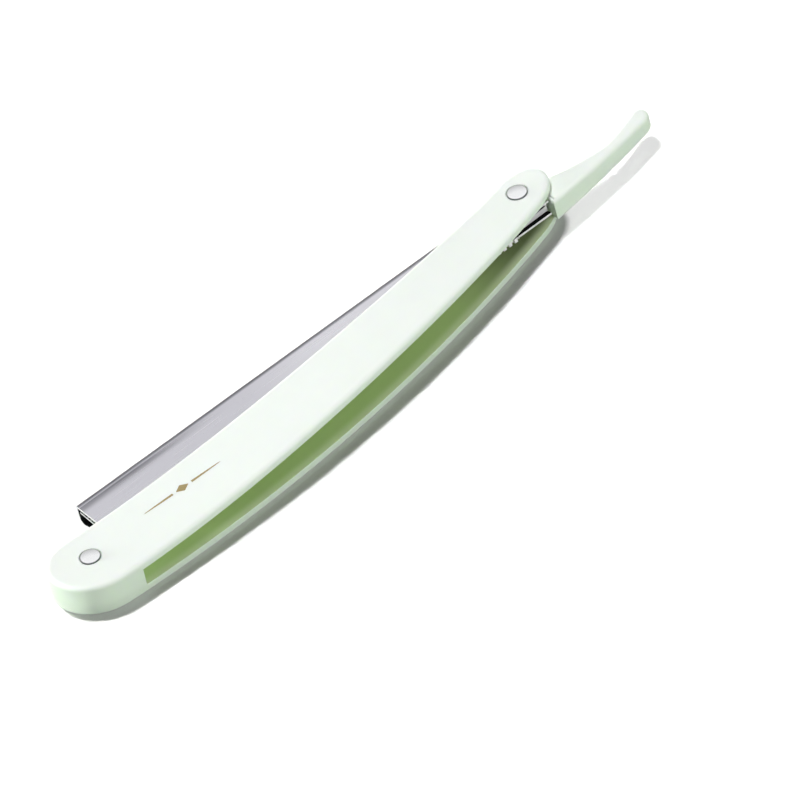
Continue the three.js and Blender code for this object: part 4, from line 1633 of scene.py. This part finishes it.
def paper_floor(name):
    """White paper: matt, lifted to full white where nothing shades it."""
    stage = bpy.context.scene.razor_stage
    material, tree = new_material(name)
    seen = seen_rays(tree)
    white = coated(tree, opaque([stage.floor_bounce] * 3), (seen, opaque([stage.paper_white] * 3)))
    paper = add_node(tree, "ShaderNodeBsdfDiffuse", {"Color": white})
    lift = add_node(tree, "ShaderNodeMath", {0: seen, 1: stage.floor_lift}, operation="MULTIPLY")
    glow = add_node(tree, "ShaderNodeEmission", {"Strength": lift.outputs[0]})
    both = add_node(tree, "ShaderNodeAddShader", {0: paper.outputs[0], 1: glow.outputs[0]})
    add_node(tree, "ShaderNodeOutputMaterial", {"Surface": both.outputs[0]})
    return material


def light_link(name, item, state):
    """A collection that lets a light see an object, or keeps the object from it."""
    linked = bpy.data.collections.new(name)
    linked.objects.link(item)
    linked.collection_objects[0].light_linking.link_state = state
    return linked


class RAZOR_OT_stage(bpy.types.Operator):
    """Sets the floor, the lights and the camera"""

    bl_idname = "razor.stage"
    bl_label = "Stage"

    def execute(self, context):
        scene = context.scene
        stage = scene.razor_stage
        scene.view_settings.view_transform = "Standard"
        half = stage.floor_size / 2
        drop = -stage.floor_gap
        corners = [(-half, -half, drop), (half, -half, drop), (half, half, drop), (-half, half, drop)]
        floor = new_object("floor", new_mesh("floor", corners, [(0, 1, 2, 3)]))
        floor.data.materials.append(existing("white_paper", paper_floor))
        self.light(stage, floor)
        self.surround(scene, stage)
        self.camera(scene, stage)
        return {"FINISHED"}

    def light(self, stage, floor):
        """A key from behind, stronger on the floor, and two low lights on the razor alone.

        The part of the key that only the floor gets passes the slender tail, whose shadow is faint.
        """
        tail = bpy.data.objects.get("tail_finished")
        for name, towards, energy, softness, floor_link in (
            ("key", stage.key_direction, stage.key_strength, stage.key_angle, None),
            ("key_on_floor", stage.key_direction, stage.floor_strength, stage.key_angle, "INCLUDE"),
            ("front", stage.front_direction, stage.front_strength, stage.front_angle, "EXCLUDE"),
            ("side", stage.side_direction, stage.side_strength, stage.key_angle, "EXCLUDE"),
        ):
            light = bpy.data.lights.new(name, "SUN")
            light.energy = energy
            light.angle = softness
            lamp = new_object(name, light)
            lamp.visible_glossy = False
            lamp.rotation_mode = "QUATERNION"
            lamp.rotation_quaternion = Vector(towards).to_track_quat("Z", "Y")
            links = lamp.light_linking
            if floor_link:
                links.receiver_collection = light_link(f"{name}_link", floor, floor_link)
            if tail and floor_link == "INCLUDE":
                links.blocker_collection = light_link(f"{name}_shadow_link", tail, "EXCLUDE")

    def surround(self, scene, stage):
        """A white room that metal sees darker near the horizon, and that lights the razor a little."""
        scene.world = bpy.data.worlds.new("studio")
        scene.world.use_nodes = True
        tree = scene.world.node_tree
        tree.nodes.clear()
        ray = add_node(tree, "ShaderNodeTexCoord").outputs["Generated"]
        height = add_node(tree, "ShaderNodeSeparateXYZ", {"Vector": ray}).outputs["Z"]
        limits = {"From Max": stage.horizon_rise, "To Min": stage.horizon, "To Max": 1.0}
        shade = add_node(tree, "ShaderNodeMapRange", {"Value": height, **limits}).outputs["Result"]
        glossy = add_node(tree, "ShaderNodeLightPath").outputs["Is Glossy Ray"]
        room = add_node(
            tree,
            "ShaderNodeMix",
            {MIX_FACTOR: glossy, MIX_FLOAT_A: 1.0, MIX_FLOAT_B: shade},
            data_type="FLOAT",
        ).outputs[MIX_FLOAT_RESULT]
        fill, white = (
            add_node(tree, "ShaderNodeBackground", {"Color": WHITE, "Strength": amount}).outputs[0]
            for amount in (stage.fill_strength, room)
        )
        seen = add_node(tree, "ShaderNodeMixShader", {0: seen_rays(tree), 1: fill, 2: white})
        add_node(tree, "ShaderNodeOutputWorld", {"Surface": seen.outputs[0]})

    def camera(self, scene, stage):
        turn = stage.camera_turn
        rise = stage.camera_elevation
        ahead = Vector((math.sin(turn) * math.cos(rise), math.cos(turn) * math.cos(rise), -math.sin(rise)))
        level = Vector((math.cos(turn), -math.sin(turn), 0))
        right = Matrix.Rotation(stage.camera_roll, 3, ahead) @ level
        up = right.cross(ahead)
        lens = bpy.data.cameras.new("camera")
        lens.sensor_width = SENSOR_WIDTH
        lens.lens = SENSOR_WIDTH * stage.camera_distance / stage.frame_width
        lens.clip_start = stage.camera_distance / CLIP_FACTOR
        lens.clip_end = stage.camera_distance * CLIP_FACTOR
        viewer = new_object("camera", lens)
        turned = Matrix((right, up, -ahead)).transposed()
        viewer.matrix_world = Matrix.Translation(
            Vector(stage.camera_target) - ahead * stage.camera_distance
        ) @ turned.to_4x4()
        scene.camera = viewer


# Add-on


class RAZOR_PT_sidebar(bpy.types.Panel):
    """Lists the operators in the order in which the razor is made."""

    bl_idname = "RAZOR_PT_sidebar"
    bl_label = "Folding Razor"
    bl_space_type = "VIEW_3D"
    bl_region_type = "UI"
    bl_category = "Razor"

    def draw(self, context):
        for operator in OPERATORS:
            self.layout.operator(operator.bl_idname)


OPERATORS = (
    RAZOR_OT_scales,
    RAZOR_OT_spacer,
    RAZOR_OT_rivets,
    RAZOR_OT_washers,
    RAZOR_OT_sheath,
    RAZOR_OT_clamp_leaf,
    RAZOR_OT_blade,
    RAZOR_OT_tail,
    RAZOR_OT_foil,
    RAZOR_OT_stage,
)
CLASSES = (*PROPERTY_GROUPS.values(), *OPERATORS, RAZOR_PT_sidebar)


def register():
    for item in CLASSES:
        bpy.utils.register_class(item)
    for name, group in PROPERTY_GROUPS.items():
        setattr(bpy.types.Scene, name, PointerProperty(type=group))


def unregister():
    for name in PROPERTY_GROUPS:
        delattr(bpy.types.Scene, name)
    for item in reversed(CLASSES):
        bpy.utils.unregister_class(item)


def main():
    register()
    bpy.ops.razor.scales()
    bpy.ops.razor.spacer()
    bpy.ops.razor.rivets()
    bpy.ops.razor.washers()
    bpy.ops.razor.sheath()
    bpy.ops.razor.clamp_leaf()
    bpy.ops.razor.blade()
    bpy.ops.razor.tail()
    bpy.ops.razor.foil()
    bpy.ops.razor.stage()


if __name__ == "__main__":
    main()
